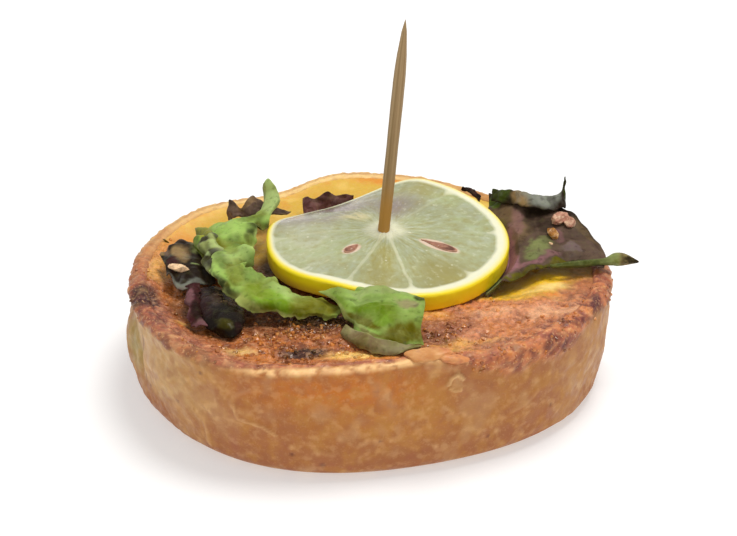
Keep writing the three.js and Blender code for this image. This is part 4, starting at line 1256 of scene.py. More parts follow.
def lemon_material(lemon):
    material, build = new_material("lemon_flesh")
    juicy = build.layer("juicy")
    streak = build.noise(build.layer("pulp_line", "Vector"), 1.7, 3, 0.55)
    # The glints are painted highlights: pale specks on the juicy pulp.
    glint = build.span(build.cells(build.here(), 300), 0.1, 0.05)
    colour = build.layer("tint", "Color")
    for pattern, strength, shade in (
        (build.span(streak, 0.54, 0.72), 0.24, lemon.pith),
        (build.span(streak, 0.48, 0.32), 0.3, lemon.pulp_olive),
        (glint, 0.5, lemon.pith),
    ):
        colour = build.mix(build.times(build.times(pattern, juicy), strength), colour, shade)
    skin = build.times(build.cells(build.here(), 700), 0.35)
    height = build.math("ADD", build.times(streak, juicy), skin)
    rough = build.math("MULTIPLY_ADD", juicy, -0.17, 0.42)
    wax = {"Specular_IOR_Level": 0.35, "Coat_Weight": 0.15, "Coat_Roughness": 0.12}
    finish_material(build, colour, rough, height, 0.5, 0.3, (0.25, (1, 0.9, 0.5), 1.5), **wax)
    return material


def lemon_pips(lemon):
    """The two pips that were cut through with the slice."""
    material, build = new_material("lemon_pip")
    mottle = build.mottle(lemon.pip_light, lemon.pip_dark, 900, 0.4, 0.3)
    finish_material(build, mottle["Colour"], 0.45, mottle["Height"], 0.4, 0.15, Specular_IOR_Level=0.25)
    for n, (distance, at, length, width) in enumerate(PIPS):
        ball, quads, fans = pebble((0, 0, 0), (1, 1, 1), (0, 0, 0), 3 + n, 0, 30, 44)
        bx, by, bz = ball.T
        along = distance + bx * (length / 2 + 0.1)
        across = by * (width / 2 + 0.1) * (1 - (0.5 + 0.28 * n) * smooth(-bx, -0.6, 1))
        c, s = math.cos(math.radians(at)), math.sin(math.radians(at))
        x, y = LEMON_CENTRE[0] + along * c - across * s, LEMON_CENTRE[1] + along * s + across * c
        out = np.hypot(bx, by)
        z = lemon_top(x, y) + np.minimum(bz * PIP_DEPTH, -0.02) + 0.04 - 0.22 * bell(out, 0.9) * (bz > 0)
        coat = Coat(len(ball), lemon, "pip_skin")
        coat.lay("pip_middle", (0.55 + 0.35 * n) * smooth(bx, -0.1, 0.7) * (1 - smooth(out, 0.75, 0.95)))
        coat.lay("pip_edge", 0.7 * smooth(out, 0.84, 0.96))
        name = f"pip_{n + 1}"
        mesh = new_mesh(name, xyz(x, y, z), quads, fans, tint=coat.colours)
        add_piece(name, mesh, material, [f"lemon_pip_{n + 1}"])


# ---------------- bamboo pick

# How the pick tapers: share of its length, and share of its full radius.
TAPER = [(0, 0.37), (0.08, 1), (0.813, 1), (0.897, 0.8), (0.966, 0.42), (0.995, 0.1), (1, 0.02)]


def pick_tree(pick, material):
    """A round rod along a straight line, tapered at both ends by a curve over its length."""
    inputs = [("Length", NUMBER, pick.reach), ("Radius", NUMBER, pick.thickness / 2), ("Sides", WHOLE, 40)]
    build = ShapeTree("Tapered pick", [*inputs, ("Material", MATERIAL, material)])
    given = build.given
    end = build.node("ShaderNodeCombineXYZ", {"Z": given["Length"]}).outputs[0]
    line = build.shape("CurvePrimitiveLine", {"Start": (0, 0, 0), "End": end}, "Curve")
    even = build.shape("ResampleCurve", {"Curve": line, "Count": 260}, "Curve")
    share = build.shape("SplineParameter", output="Factor")
    taper = build.node("ShaderNodeFloatCurve", {"Value": share})
    profile = taper.mapping.curves[0]
    profile.points[0].location, profile.points[1].location = TAPER[0], TAPER[-1]
    for place in TAPER[1:-1]:
        profile.points.new(*place)
    for point in profile.points:
        point.handle_type = "VECTOR"
    taper.mapping.update()
    wave = build.node("ShaderNodeTexNoise", {"W": share, "Scale": 9, "Detail": 1}, noise_dimensions="1D")
    uneven = build.math("MULTIPLY_ADD", wave.outputs[0], 0.12, 0.94)
    radius = build.times(build.times(taper.outputs[0], given["Radius"]), uneven)
    ring = build.shape("CurvePrimitiveCircle", {"Resolution": given["Sides"], "Radius": 1}, "Curve")
    around = build.shape("SplineParameter", output="Factor")
    kind = {"data_type": "FLOAT", "domain": "POINT"}
    even = build.shape("StoreNamedAttribute", {"Geometry": even, "Name": "pick_along", "Value": share}, **kind)
    ring = build.shape("StoreNamedAttribute", {"Geometry": ring, "Name": "pick_around", "Value": around}, **kind)
    # The curve's own radius scales the ring where this Blender has no Scale socket on Curve to Mesh.
    sized = build.shape("SetCurveRadius", {"Curve": even, "Radius": radius}, "Curve")
    rod = build.node("GeometryNodeCurveToMesh", {"Curve": sized, "Profile Curve": ring, "Fill Caps": True})
    if "Scale" in rod.inputs:
        build.put(rod.inputs["Scale"], radius)
    smooth_rod = build.shape("SetShadeSmooth", {"Geometry": rod.outputs["Mesh"]})
    return build.finish(build.shape("RealizeInstances", {"Geometry": smooth_rod}))


def bamboo_material(pick):
    material, build = new_material("bamboo")
    around, along = build.layer("pick_around"), build.layer("pick_along")
    angle = build.times(around, 2 * math.pi)
    place = {"X": build.math("COSINE", angle), "Y": build.math("SINE", angle), "Z": build.times(along, 0.55)}
    fibre_place = build.node("ShaderNodeCombineXYZ", place).outputs[0]
    fibres = build.noise(fibre_place, 9, 4, 0.65)
    broad = build.noise(fibre_place, 2.2, 2)
    colour = build.mix(build.span(broad, 0.35, 0.7), pick.wood, pick.light_fibre)
    colour = build.mix(build.span(fibres, 0.52, 0.74, 0, 0.6), colour, pick.fibre)
    colour = build.mix(build.span(fibres, 0.46, 0.3, 0, 0.5), colour, pick.light_fibre)
    colour = build.mix(build.span(along, 0.56, 0.4, 0, 0.75), colour, pick.honey)
    finish_material(build, colour, build.span(fibres, 0.3, 0.7, 0.45, 0.6), fibres, 0.4, 0.12, Specular_IOR_Level=0.25)
    return material


def bamboo_pick(pick):
    tree = pick_tree(pick, bamboo_material(pick))
    mesh = tree.run("pick", add_object("pick_seed", bpy.data.meshes.new("pick_seed")))
    axis = unit(PICK_TIP - PICK_THROUGH)
    side = unit(np.cross([0, 1, 0], axis))
    p = mesh_points(mesh)
    frame_of_pick = np.array([side, np.cross(axis, side), axis])
    placed = PICK_TIP - axis * pick.reach / MM + p @ frame_of_pick
    mesh.vertices.foreach_set("co", (placed * MM).astype(np.float32).ravel())
    mesh.update()
    return add_piece("pick", mesh, None, ["bamboo_pick"])


# ---------------- lettuce

# Each leaf: the curves that it is stretched over, as in the frame, and its patches of colour as (u, v, half u, half v,
# colour, strength). Then how it lies to the lemon, its frill as (wave length, height), its puckers as (size, height),
# how far its margin is torn and curls, where the calm end stops and the free part starts, how much of the frill is
# left at a quiet end, cells along and across, its base colour, the painted shade of its hollows, the painted highlight
# of its ridges and its rim colour, how bright its tone is, and how rough (gloss) and how shiny its surface is. A node
# is named where several sheets share one.
LEAVES = {
    "green_leaf_left": dict(
        curves=[
            [
            (-25, 18.5, 36.8), (-25.5, 14.5, 32.5), (-37.5, 7.5, 30), (-38.5, -2, 29.5), (-32, -17.5, 29),
            (-25, -27, 28), (-16, -28.5, 27), (-6.5, -28.3, 26.5),
            ],
            [
            (-23.5, 19.5, 38.2), (-23, 13.5, 34), (-31, 4.5, 32.5), (-31.5, -6, 31.5), (-28.5, -18.5, 31),
            (-23, -24.5, 30), (-15.5, -27, 29), (-5, -26.5, 27.3),
            ],
            [
            (-21.8, 17.5, 37.2), (-20.5, 12, 33), (-25.5, 3.5, 32), (-25, -7.5, 31.5), (-26.5, -12.5, 30.5),
            (-21, -16, 30), (-13.5, -21.5, 29), (-6.5, -24.6, 28),
            ],
        ],
        # The soot and deep green patches of this leaf are partly painted shade in its folds.
        patches=[
            (0.07, 0.5, 0.13, 0.9, "grey_green", 0.95), (0.04, 0.03, 0.1, 0.2, "mauve", 0.5),
            (0.26, 0.95, 0.06, 0.24, "soot", 0.85), (0.21, 0.62, 0.05, 0.25, "deep_green", 0.55),
            (0.22, 0.2, 0.1, 0.35, "bright", 0.45), (0.31, 0.1, 0.04, 0.14, "yellow_green", 0.8),
            (0.36, 0.75, 0.045, 0.3, "deep_green", 0.6), (0.4, 0.3, 0.06, 0.25, "olive", 0.8),
            (0.44, 0.12, 0.05, 0.2, "soot", 0.9), (0.38, 0.02, 0.05, 0.12, "deep_green", 0.9),
            (0.48, 0.4, 0.05, 0.2, "soot", 0.5), (0.47, 0.7, 0.07, 0.3, "grey_green", 0.5),
            (0.55, 0.6, 0.08, 0.35, "olive", 0.6), (0.6, 0.05, 0.08, 0.22, "soot", 0.9),
            (0.64, 0.8, 0.08, 0.25, "deep_green", 0.45), (0.73, 0.6, 0.09, 0.4, "bright", 0.85),
            (0.71, 0.14, 0.09, 0.16, "lip", 0.6), (0.8, 0.85, 0.14, 0.2, "grey_green", 0.5),
            (0.83, 0.3, 0.11, 0.3, "vivid", 0.95), (0.8, 0.03, 0.2, 0.1, "lip", 0.55),
            (0.94, 0.5, 0.09, 0.7, "olive", 0.9),
        ],
        lies="beside", calm=(0.06, 0.2), frill=(11, 1.6), pucker=(8, 0.85), torn=1.2, curl=0.8, cells=(420, 84),
        colour="green", quiet_end=0.45, tone=1,
    ),
    "dark_leaf_left": dict(
        curves=[
            [(-47, -2, 28.5), (-45, 1.5, 29.5), (-41, 5, 28), (-36, 8, 26.5)],
            [(-45, -7, 28.5), (-42.5, -5.5, 28.5), (-38.5, -5, 28), (-34.5, -2.5, 26.5)],
            [(-44, -11.5, 27.5), (-41, -14.5, 26.5), (-37, -13, 26), (-33.5, -9, 25)],
        ],
        patches=[
            (0.06, 0.02, 0.1, 0.14, "umber", 0.9), (0.19, 0.1, 0.13, 0.2, "mauve", 0.9),
            (0.44, 0.3, 0.2, 0.26, "umber", 1), (0.34, 0.06, 0.1, 0.12, "soot", 0.7),
            (0.2, 0.55, 0.2, 0.22, "wine", 0.6), (0.73, 0.62, 0.25, 0.22, "soot", 0.95),
            (0.66, 0.6, 0.07, 0.07, "grey_green", 0.5), (0.8, 0.15, 0.2, 0.22, "sage", 0.8),
            (0.5, 0.8, 0.3, 0.1, "soot", 0.9), (0.44, 0.97, 0.5, 0.08, "deep_grey", 0.9),
        ],
        frill=(8, 0.9), pucker=(5, 0.6), torn=1.3, curl=0.5, cells=(190, 130), colour="soot", hollow="soot",
        ridge_highlight="deep_grey", rim="mauve", seed=2, shine=0.08, tone=1.3,
    ),
    "dark_fold_left": dict(
        curves=[
            [(-39.5, 8.5, 29.5), (-38.5, 1.5, 30.5), (-37, -5, 29.6), (-35, -12, 28.6)],
            [(-36.5, 6, 31), (-35.4, 0, 32), (-34.4, -6.5, 31), (-32.5, -13, 29.6)],
            [(-33, 3, 29), (-32.5, -2, 30), (-31.6, -8, 29), (-30.5, -14.5, 28)],
        ],
        patches=[
            (0.1, 0.3, 0.2, 0.5, "olive", 0.6), (0.2, 0.75, 0.14, 0.25, "soot", 0.8),
            (0.36, 0.2, 0.12, 0.25, "soot", 0.85), (0.5, 0.6, 0.12, 0.3, "grey_green", 0.5),
            (0.8, 0.5, 0.25, 0.6, "soot", 0.9), (0.7, 0.3, 0.08, 0.14, "grey_green", 0.6),
        ],
        node="dark_leaf_left", frill=(7, 0.9), pucker=(4.5, 0.6), torn=1.2, curl=0.8, cells=(150, 90),
        colour="sage", hollow="soot", ridge_highlight="deep_grey", rim="mauve", seed=3, contrast=0.8, tone=1.35,
    ),
    "purple_shred_left": dict(
        curves=[
            [(-39.3, -15, 27), (-38.6, -21, 26.6), (-37.2, -27, 25.8), (-35.8, -31, 24.8)],
            [(-37.9, -14.5, 27.6), (-37.2, -20.5, 27.4), (-35.9, -26, 26.6), (-34.6, -30.5, 25.4)],
            [(-36.4, -14, 27), (-35.7, -20, 26.8), (-34.6, -26, 26), (-33.4, -30.5, 25)],
        ],
        patches=[
            (0.3, 0.3, 0.2, 0.3, "purple", 0.45), (0.7, 0.6, 0.3, 0.5, "soot", 0.8),
        ],
        node="dark_leaf_low", frill=(6, 0.3), pucker=(4, 0.25), torn=1, cells=(130, 60), colour="wine",
        hollow="soot", ridge_highlight="purple", rim="purple", rim_share=0.2, seed=4, gloss=0.3,
    ),
    "dark_leaf_low": dict(
        curves=[
            [(-38, -16.5, 26.5), (-36.5, -24, 25.5), (-33.5, -30, 25), (-30, -33, 24)],
            [(-33.5, -13.5, 26), (-31, -26.5, 27.5), (-29, -32, 27), (-27.5, -34.5, 25)],
            [(-28.5, -16.5, 25), (-26, -25, 26), (-25.5, -30, 26), (-26, -32.5, 25)],
        ],
        patches=[
            (0.2, 0.15, 0.35, 0.3, "wine", 0.7), (0.22, 0.5, 0.1, 0.12, "mauve", 0.45),
            (0.7, 0.45, 0.2, 0.22, "olive", 0.4), (0.85, 0.8, 0.2, 0.2, "wine", 0.5),
        ],
        frill=(9, 0.2), pucker=(7, 0.3), torn=0.3, cells=(140, 90), colour="soot", hollow="soot", ridge_highlight="wine",
        rim="wine", rim_share=0.3, seed=5, contrast=0.4, gloss=0.22, shine=0.1, tone=0.65,
    ),
    "green_leaf_front": dict(
        curves=[
            [(-10, -24, 30), (-3.5, -23.5, 30.5), (3.5, -23.5, 31), (12, -26.5, 30.5)],
            [(-6.5, -26, 29), (-2, -29.5, 30), (4, -31, 30.5), (12, -30.5, 30)],
            [(-4.5, -30, 27.5), (-0.5, -35.5, 28), (4.5, -38.5, 28.5), (11, -36, 28)],
            [(-4.5, -28.5, 26.5), (-1, -36.5, 26), (4.5, -40.5, 26), (11.5, -39.5, 26.5)],
        ],
        patches=[
            (0.58, 0.07, 0.35, 0.1, "grey_green", 0.8), (0.1, 0.28, 0.12, 0.2, "bright", 0.6),
            (0.45, 0.22, 0.3, 0.07, "deep_green", 0.35), (0.48, 0.38, 0.35, 0.12, "vivid", 0.95),
            (0.3, 0.56, 0.36, 0.14, "olive", 1), (0.64, 0.5, 0.2, 0.1, "bright", 0.8),
            (0.98, 0.1, 0.06, 0.14, "deep_green", 0.9), (0.86, 0.29, 0.13, 0.12, "stone", 0.9),
            (0.42, 0.8, 0.24, 0.09, "umber", 0.7), (0.2, 0.72, 0.2, 0.07, "lip", 0.7),
            (0.82, 0.78, 0.34, 0.26, "olive", 1), (0.03, 0.5, 0.08, 0.6, "lip", 0.5),
        ],
        lies="over", frill=(12, 0.7), pucker=(8, 0.7), torn=0.7, cells=(210, 170), colour="green", seed=6,
        contrast=0.6, tone=0.8, rim_share=0.15,
    ),
    "pale_lip_front": dict(
        curves=[
            [(-4.2, -33.2, 27.2), (0, -37.6, 27.5), (5.5, -40.6, 27.3), (10.5, -41.2, 27)],
            [(-5.2, -34.6, 26.2), (-0.5, -39.8, 26.5), (5, -42.6, 26.6), (10.8, -42.6, 26.6)],
            [(-4.6, -34.6, 25.2), (-0.2, -40.4, 25.4), (5.2, -43.2, 25.6), (11, -43, 25.8)],
        ],
        patches=[
            (0.35, 0.4, 0.3, 0.5, "umber", 0.8), (0.75, 0.5, 0.25, 0.5, "stone", 0.6),
            (0.95, 0.5, 0.1, 0.6, "olive", 0.7),
        ],
        node="green_leaf_front", frill=(7, 0.35), pucker=(5, 0.3), torn=0.4, cells=(130, 46), colour="stone",
        ridge_highlight="stone", hollow="olive", seed=7, contrast=0.7, tone=0.74,
    ),
    "dark_leaf_right": dict(
        curves=[
            [
                (26, -15, 26), (31.5, -12, 26.6), (37, -8.8, 27.4), (43, -5.6, 27.6), (48, -6.7, 27.8),
                (52.8, -7.6, 27.9),
            ],
            [(27.5, -2, 26.5), (33, -2.5, 28), (38.5, -1.5, 29), (44, 0, 29.5), (49, -1.5, 29), (53.6, -5, 28.5)],
            [(28.5, 14.5, 28), (33.5, 12.5, 30), (39.5, 12, 31), (44.5, 9.5, 31.5), (49, 4, 30), (53.6, -2, 29.2)],
            [(30, 29.5, 30.5), (34.5, 21.5, 32), (40, 16.5, 33), (45.5, 14, 34), (50, 8.5, 31.5), (52.8, 1, 30)],
        ],
        patches=[
            (0.3, 0.97, 0.45, 0.13, "soot", 0.9), (0.62, 0.95, 0.3, 0.1, "soot", 0.8),
            (0.06, 0.92, 0.07, 0.1, "bright", 0.7), (0.16, 0.74, 0.14, 0.16, "umber", 0.6),
            (0.45, 0.78, 0.12, 0.12, "soot", 0.85), (0.28, 0.56, 0.1, 0.12, "umber", 0.5),
            (0.12, 0.55, 0.1, 0.14, "olive", 0.5), (0.19, 0.36, 0.07, 0.3, "purple", 0.95),
            (0.33, 0.18, 0.16, 0.08, "purple", 0.7), (0.4, 0.33, 0.12, 0.1, "sage", 0.85),
            (0.47, 0.42, 0.08, 0.08, "sage", 0.6), (0.5, 0.62, 0.12, 0.09, "soot", 0.6),
            (0.6, 0.5, 0.06, 0.1, "purple", 0.45), (0.07, 0.08, 0.12, 0.14, "grey_green", 0.7),
            (0.34, 0.02, 0.32, 0.07, "olive", 0.9), (0.82, 0.1, 0.22, 0.05, "deep_green", 0.9),
            (0.88, 0.88, 0.16, 0.1, "umber", 0.6), (0.36, 0.7, 0.05, 0.22, "soot", 0.5),
            (0.26, 0.68, 0.06, 0.16, "purple", 0.4), (0.52, 0.22, 0.1, 0.08, "purple", 0.45),
            (0.7, 0.32, 0.12, 0.07, "lilac", 0.35), (0.6, 0.08, 0.12, 0.05, "olive", 0.9),
        ],
        lies="under", frill=(12, 0.45), pucker=(7.5, 0.6), torn=0.4, cells=(280, 200), colour="mauve",
        hollow="soot", ridge_highlight="mauve", rim="soot", rim_share=0.4, seed=8, contrast=0.55, tone=0.84,
    ),
    "dark_fold_right": dict(
        curves=[
            [(30, 22.5, 31), (34.5, 17, 32.6), (39.5, 12.5, 33.2), (45, 12.5, 33.4), (47, 15.5, 33.2)],
            [(30.5, 25.5, 33), (35, 20, 34.6), (40, 16, 35), (45.5, 16.5, 35.6), (46.8, 18, 38.6)],
            [(31, 28, 31.5), (35.5, 22, 33), (40.5, 18, 33.6), (45.8, 17.5, 34), (46.9, 18.6, 39)],
        ],
        patches=[
            (0.1, 0.4, 0.14, 0.5, "deep_green", 0.9), (0.35, 0.3, 0.14, 0.4, "umber", 0.7),
            (0.6, 0.4, 0.26, 0.4, "deep_grey", 0.95), (0.95, 0.5, 0.08, 0.6, "deep_green", 0.6),
        ],
        node="dark_leaf_right", frill=(9, 0.45), pucker=(3.8, 0.45), torn=0.5, cells=(170, 70), colour="soot",
        hollow="soot", ridge_highlight="deep_grey", rim="soot", seed=9, tone=1.55,
    ),
    "purple_leaf_back_left": dict(
        curves=[
            [
            (-34, 21.5, 28), (-33, 21.5, 32), (-30.5, 19.5, 30.5), (-28, 22.5, 32.5), (-25, 23, 30.5),
            (-18.5, 22, 28.5),
            ],
            [(-33.5, 20, 27), (-32, 18.5, 28.5), (-30, 18.5, 28.5), (-27, 18.5, 29), (-24, 19, 29), (-19.5, 21, 28)],
        ],
        patches=[
            (0.5, 0.2, 0.25, 0.3, "umber", 0.6), (0.2, 0.1, 0.12, 0.3, "soot", 0.6), (0.85, 0.5, 0.2, 0.6, "soot", 0.7),
        ],
        lies="beside", frill=(6, 0.35), pucker=(2.6, 0.35), torn=0.3, cells=(180, 40), colour="mauve",
        hollow="soot", ridge_highlight="mauve", rim="soot", seed=10, tone=1.2,
    ),
    "purple_leaf_back": dict(
        curves=[
            [(-16, 29.5, 28.9), (-12.5, 29, 29.2), (-9.5, 29.4, 30.8), (-7.5, 30, 29.4), (-3.5, 31.5, 28.9)],
            [(-15.8, 26.8, 27.2), (-12.5, 27.4, 27.3), (-9.5, 28.4, 27.6), (-7.5, 29.2, 27.5), (-3.5, 31, 27.2)],
            [(-15.4, 24.5, 25.6), (-12.2, 26, 25.6), (-9.4, 27.4, 25.6), (-7.5, 28.4, 25.6), (-3.6, 30.4, 25.6)],
        ],
        patches=[
            (0.4, 0.1, 0.4, 0.2, "mauve", 0.4), (0.75, 0.4, 0.2, 0.2, "soot", 0.4),
        ],
        lies="beside", frill=(5, 0.4), pucker=(2.4, 0.4), torn=0.4, cells=(130, 70), colour="plum",
        hollow="wine", ridge_highlight="mauve", rim="soot", seed=11,
    ),
    "purple_shred_back": dict(
        curves=[
            [(24, 34.5, 30), (26.5, 35, 29), (28.5, 32.5, 28)],
            [(23.5, 34.5, 29), (26, 33.5, 28.5), (28, 30.5, 27.5)],
        ],
        patches=[
            (0.5, 0.3, 0.3, 0.4, "wine", 0.7),
        ],
        frill=(3, 0.2), pucker=(1.6, 0.2), torn=0.2, cells=(50, 20), colour="soot", hollow="soot", ridge_highlight="wine",
        rim="soot", seed=12,
    ),
}
# Chips of nut: the leaf, how far along and across it, length, depth and height in millimetres, and colour. Without a
# leaf the place is x and y on the filling.
NUT_CHIPS = [
    ("nut_chip_left", "dark_leaf_left", 0.36, 0.71, (4.6, 2.8, 2.2), "nut"),
    ("nut_chip_pink_1", "dark_leaf_right", 0.62, 0.68, (4.8, 3.6, 3), "nut_pink"),
    ("nut_chip_pink_2", "dark_leaf_right", 0.71, 0.76, (3.2, 2.8, 2.4), "nut_pink"),
    ("nut_chip_gold", "dark_leaf_right", 0.55, 0.48, (4.4, 3.4, 2), "nut_gold"),
    ("nut_bit", "dark_leaf_right", 0.52, 0.38, (1.2, 1.1, 0.8), "nut"),
    ("herb_fleck", None, -47.4, 11.1, (2, 0.9, 0.4), "olive"),
]
STALK_POINTS = [(41, -7, 27.9), (47, -6.6, 28.2), (53, -6.2, 28.6), (56.5, -5.6, 29), (60.5, -6.6, 28.8)]
STALK_RADII = [0.4, 0.8, 0.85, 1.5, 0.25]


def settle(p, lies, clearance):
    """Keeps a leaf's mid surface off the pastry and filling, and under, over or beside the lemon slice."""
    x, y, z = p[..., 0], p[..., 1], p[..., 2]
    dx, dy = x - LEMON_CENTRE[0], y - LEMON_CENTRE[1]
    out = np.maximum(np.hypot(dx, dy), 1e-6)
    beyond = out - lemon_edge(heading(dx, dy))
    corner = np.sqrt(np.maximum(clearance**2 - np.maximum(beyond, 0) ** 2, 0))
    lift = corner - 1.5 * np.maximum(beyond - clearance, 0)
    top = lemon_top(x, y)
    bottom = top - LEMON_THICKNESS
    if lies == "over":
        z = np.maximum(z, top + lift)
    if lies == "under":
        z = np.minimum(z, bottom - lift)
    if lies == "beside":
        push = np.where((beyond < clearance) & (z > bottom - clearance), (clearance - beyond) / out, 0)
        x, y = x + dx * push, y + dy * push
    return xyz(x, y, np.maximum(z, ground_level(x, y) + clearance))


def leaf_surface(leaf, u, v, clearance):
    """The mid surface of a leaf at a grid of shares along and across it, and its puckers and waves, -1 to 1."""
    p = np.swapaxes(curve(np.array([curve(c, u) for c in leaf["curves"]]), v), 0, 1)
    along, across = np.gradient(p, axis=0), np.gradient(p, axis=1)
    normal, across = unit(np.cross(along, across)), unit(across)
    uu, vv = np.meshgrid(u, v, indexing="ij")
    margin, side = np.abs(2 * vv - 1), np.sign(vv - 0.5)
    along_mm = uu * np.linalg.norm(np.diff(p[:, p.shape[1] // 2], axis=0), axis=1).sum()
    calm_end, free_from = leaf.get("calm", (-1, 0))
    free = smooth(uu, calm_end, free_from) if free_from > 0 else np.ones_like(uu)
    (size, height), seed = leaf["frill"], leaf.get("seed", 1)
    strip = xyz(along_mm, side * 9, seed * 5.3)
    phase = 2 * np.pi * along_mm / size + 3.2 * ripple(strip, 9, 175, 1) + 1.9 * side + seed
    quiet = lerp(1, leaf.get("quiet_end", 1), smooth(uu, 0.55, 0.75))
    reach = height * free * margin**1.7 * (0.75 + 0.75 * ripple(strip, 6, 176, 1)) * quiet
    wave = np.sin(phase)
    size, height = leaf["pucker"]
    bent = p + 0.8 * xyz(*(ripple(p, 4, seed_of_axis, 1) for seed_of_axis in (178, 179, 180)))
    puffed = 1.6 * ripple(bent, size, 171, 2) - 0.22 * bell(ripple(bent, size * 1.2, 172, 2), 0.16)
    tight = ripple(p, size / 3, 173, 2)
    offset = reach * wave + height * (0.35 + 0.65 * free) * (puffed + 0.12 * tight)
    curl = leaf.get("curl", 0) * smooth(margin, 0.72, 1)
    offset = offset - curl * (0.6 + 0.8 * ripple(strip, 7, 182, 1))
    torn = side * leaf["torn"] * free * margin**3 * ripple(strip, 2.4, 177, 2)
    p = p + normal * offset[..., None] + across * (torn - 0.5 * side * reach * np.cos(phase))[..., None]
    return settle(p, leaf.get("lies"), clearance), np.clip(puffed, -1, 1), wave * margin * free


def leaf_sheet(name, leaves):
    leaf = LEAVES[name]
    rows, columns = (cells + 1 for cells in leaf["cells"])
    u, v = np.linspace(0, 1, rows), np.linspace(0, 1, columns)
    half = leaves.thickness / MM / 2
    p, puffed, wave = leaf_surface(leaf, u, v, half + 0.3)
    edge_u, edge_v = np.minimum(np.minimum(u, 1 - u) * 20, 1), np.minimum(np.minimum(v, 1 - v) * 14, 1)
    thick = half * (0.35 + 0.65 * np.sqrt(np.outer(edge_u, edge_v)))[..., None] * grid_normals(p, False)
    points = np.concatenate([(p + thick).reshape(-1, 3), (p - thick).reshape(-1, 3)])
    face, index = quads_of(rows, columns, False), np.arange(rows * columns).reshape(rows, columns)
    ring = np.concatenate([index[0], index[1:, -1], index[-1, -2::-1], index[-2:0:-1, 0]])
    following = np.roll(ring, -1)
    border = np.stack([following, ring, ring + index.size, following + index.size], -1)
    quads = np.concatenate([face, face[:, ::-1] + index.size, border])
    tint = leaf_colours(leaf, leaves, *np.meshgrid(u, v, indexing="ij"), p, puffed, wave)
    layers = {"tint": np.tile(tint, (2, 1)), "puffed": np.tile(puffed.ravel(), 2)}
    mesh = new_mesh(name + "_sheet", points, quads, [], **layers)
    node = leaf.get("node", name)
    return add_piece(name + "_sheet", mesh, leaf_material(name, leaf, leaves), [node])


def leaf_colours(leaf, leaves, u, v, p, puffed, wave):
    u, v, p, puffed, wave = u.ravel(), v.ravel(), p.reshape(-1, 3), puffed.ravel(), wave.ravel()
    coat = Coat(len(u), leaves, leaf["colour"])
    shift_u, shift_v = 0.05 * ripple(p, 5, 181), 0.12 * ripple(p, 4, 183)
    for at_u, at_v, half_u, half_v, name, strength in leaf["patches"]:
        far = np.hypot((u - at_u + shift_u) / half_u, (v - at_v + shift_v) / half_v)
        coat.lay(name, strength * (1 - smooth(far, 0.5, 1.1)))
    mottled = ripple(p, 1.8, 187, 3)
    rim = smooth(np.abs(2 * v - 1), 0.86, 0.98) * smooth(mottled, -0.5, 0.3)
    contrast = leaf.get("contrast", 1)
    # Painted shade in the hollows of the puckers and the troughs of the frill, and a painted highlight on the tops of
    # the puckers.
    coat.lay(leaf.get("hollow", "olive"), contrast * 0.45 * smooth(-puffed, 0.1, 0.7))
    coat.lay(leaf.get("hollow", "olive"), contrast * 0.4 * smooth(-wave, 0.25, 0.9))
    coat.lay(leaf.get("ridge_highlight", "grey_green"), contrast * 0.35 * smooth(puffed, 0.2, 0.9))
    coat.lay(leaf.get("rim", "lip"), leaf.get("rim_share", 0.4) * rim)
    return coat.shade(leaf.get("tone", 1) * (1 + 0.16 * mottled)).colours


def leaf_material(name, leaf, leaves):
    material, build = new_material("lettuce_" + name)
    here = build.here()
    flecks = build.noise(here, 700, 4, 0.6)
    green = "green" in name or "lip" in name
    pale = build.span(flecks, 0.5, 0.72, 0, 0.16 if green else 0.04)
    colour = build.mix(pale, build.layer("tint", "Color"), leaves.lip)
    colour = build.mix(build.span(flecks, 0.46, 0.3, 0, 0.4), colour, leaves.deep_green if green else leaves.soot)
    if green:
        veins = build.cells(here, 260, "DISTANCE_TO_EDGE")
        colour = build.mix(build.span(veins, 0, 0.09, 0.07, 0), colour, leaves.lip)
    cells = build.span(build.cells(here, 1400, "DISTANCE_TO_EDGE"), 0, 0.08, 0, 0.15)
    height = build.math("ADD", build.times(flecks, 0.7), cells)
    gloss = leaf.get("gloss", 0.42)
    rough = build.span(flecks, 0.35, 0.65, gloss - 0.06, gloss + 0.1)
    soft = (0.1, (0.5, 1, 0.3), 0.6)
    finish_material(build, colour, rough, height, 0.5, 0.13, soft, Specular_IOR_Level=leaf.get("shine", 0.05))
    return material


def leaf_stalk(leaves):
    """The stalk that the right leaf's front margin rolls up into, with a dark bud at its end."""
    rings, columns = 90, 28
    t = np.linspace(0, 1, rings)
    middle = curve(STALK_POINTS, t)
    ahead = unit(np.gradient(middle, axis=0))
    side = unit(np.cross(ahead, [0, 0, 1]))
    radius = np.maximum(curve(np.array(STALK_RADII)[:, None], t), 0.1)
    a = np.linspace(0, 2 * math.pi, columns, endpoint=False)
    ribs = 1 + 0.09 * np.cos(5 * a)[None, :] + 0.1 * ripple(middle, 2, 191)[:, None]
    outward = np.cos(a)[:, None] * side[:, None] + np.sin(a)[:, None] * np.cross(side, ahead)[:, None]
    p = middle[:, None] + (radius * ribs)[..., None] * outward
    points = np.concatenate([p.reshape(-1, 3), [middle[0] - ahead[0] * 0.2, middle[-1] + ahead[-1] * 0.25]])
    share = np.concatenate([np.repeat(t, columns), [0, 1]])
    coat = Coat(len(points), leaves, "sage")
    coat.lay("olive", 0.5 * smooth(ripple(points, 1.6, 193), -0.1, 0.4))
    coat.lay("deep_green", 0.75 * (1 - smooth(share, 0.4, 0.66)))
    coat.lay("umber", 0.8 * smooth(share, 0.68, 0.8))
    coat.lay("soot", 0.9 * smooth(share, 0.72, 0.86) * smooth(ripple(points, 1.3, 195), -0.5, 0.1))
    layers = {"tint": coat.colours, "puffed": np.zeros(len(points))}
    mesh = new_mesh("leaf_stalk", points, *turned_faces(rings, columns), **layers)
    return add_piece("leaf_stalk", mesh, bpy.data.materials["lettuce_green_leaf_front"], ["dark_leaf_right"])


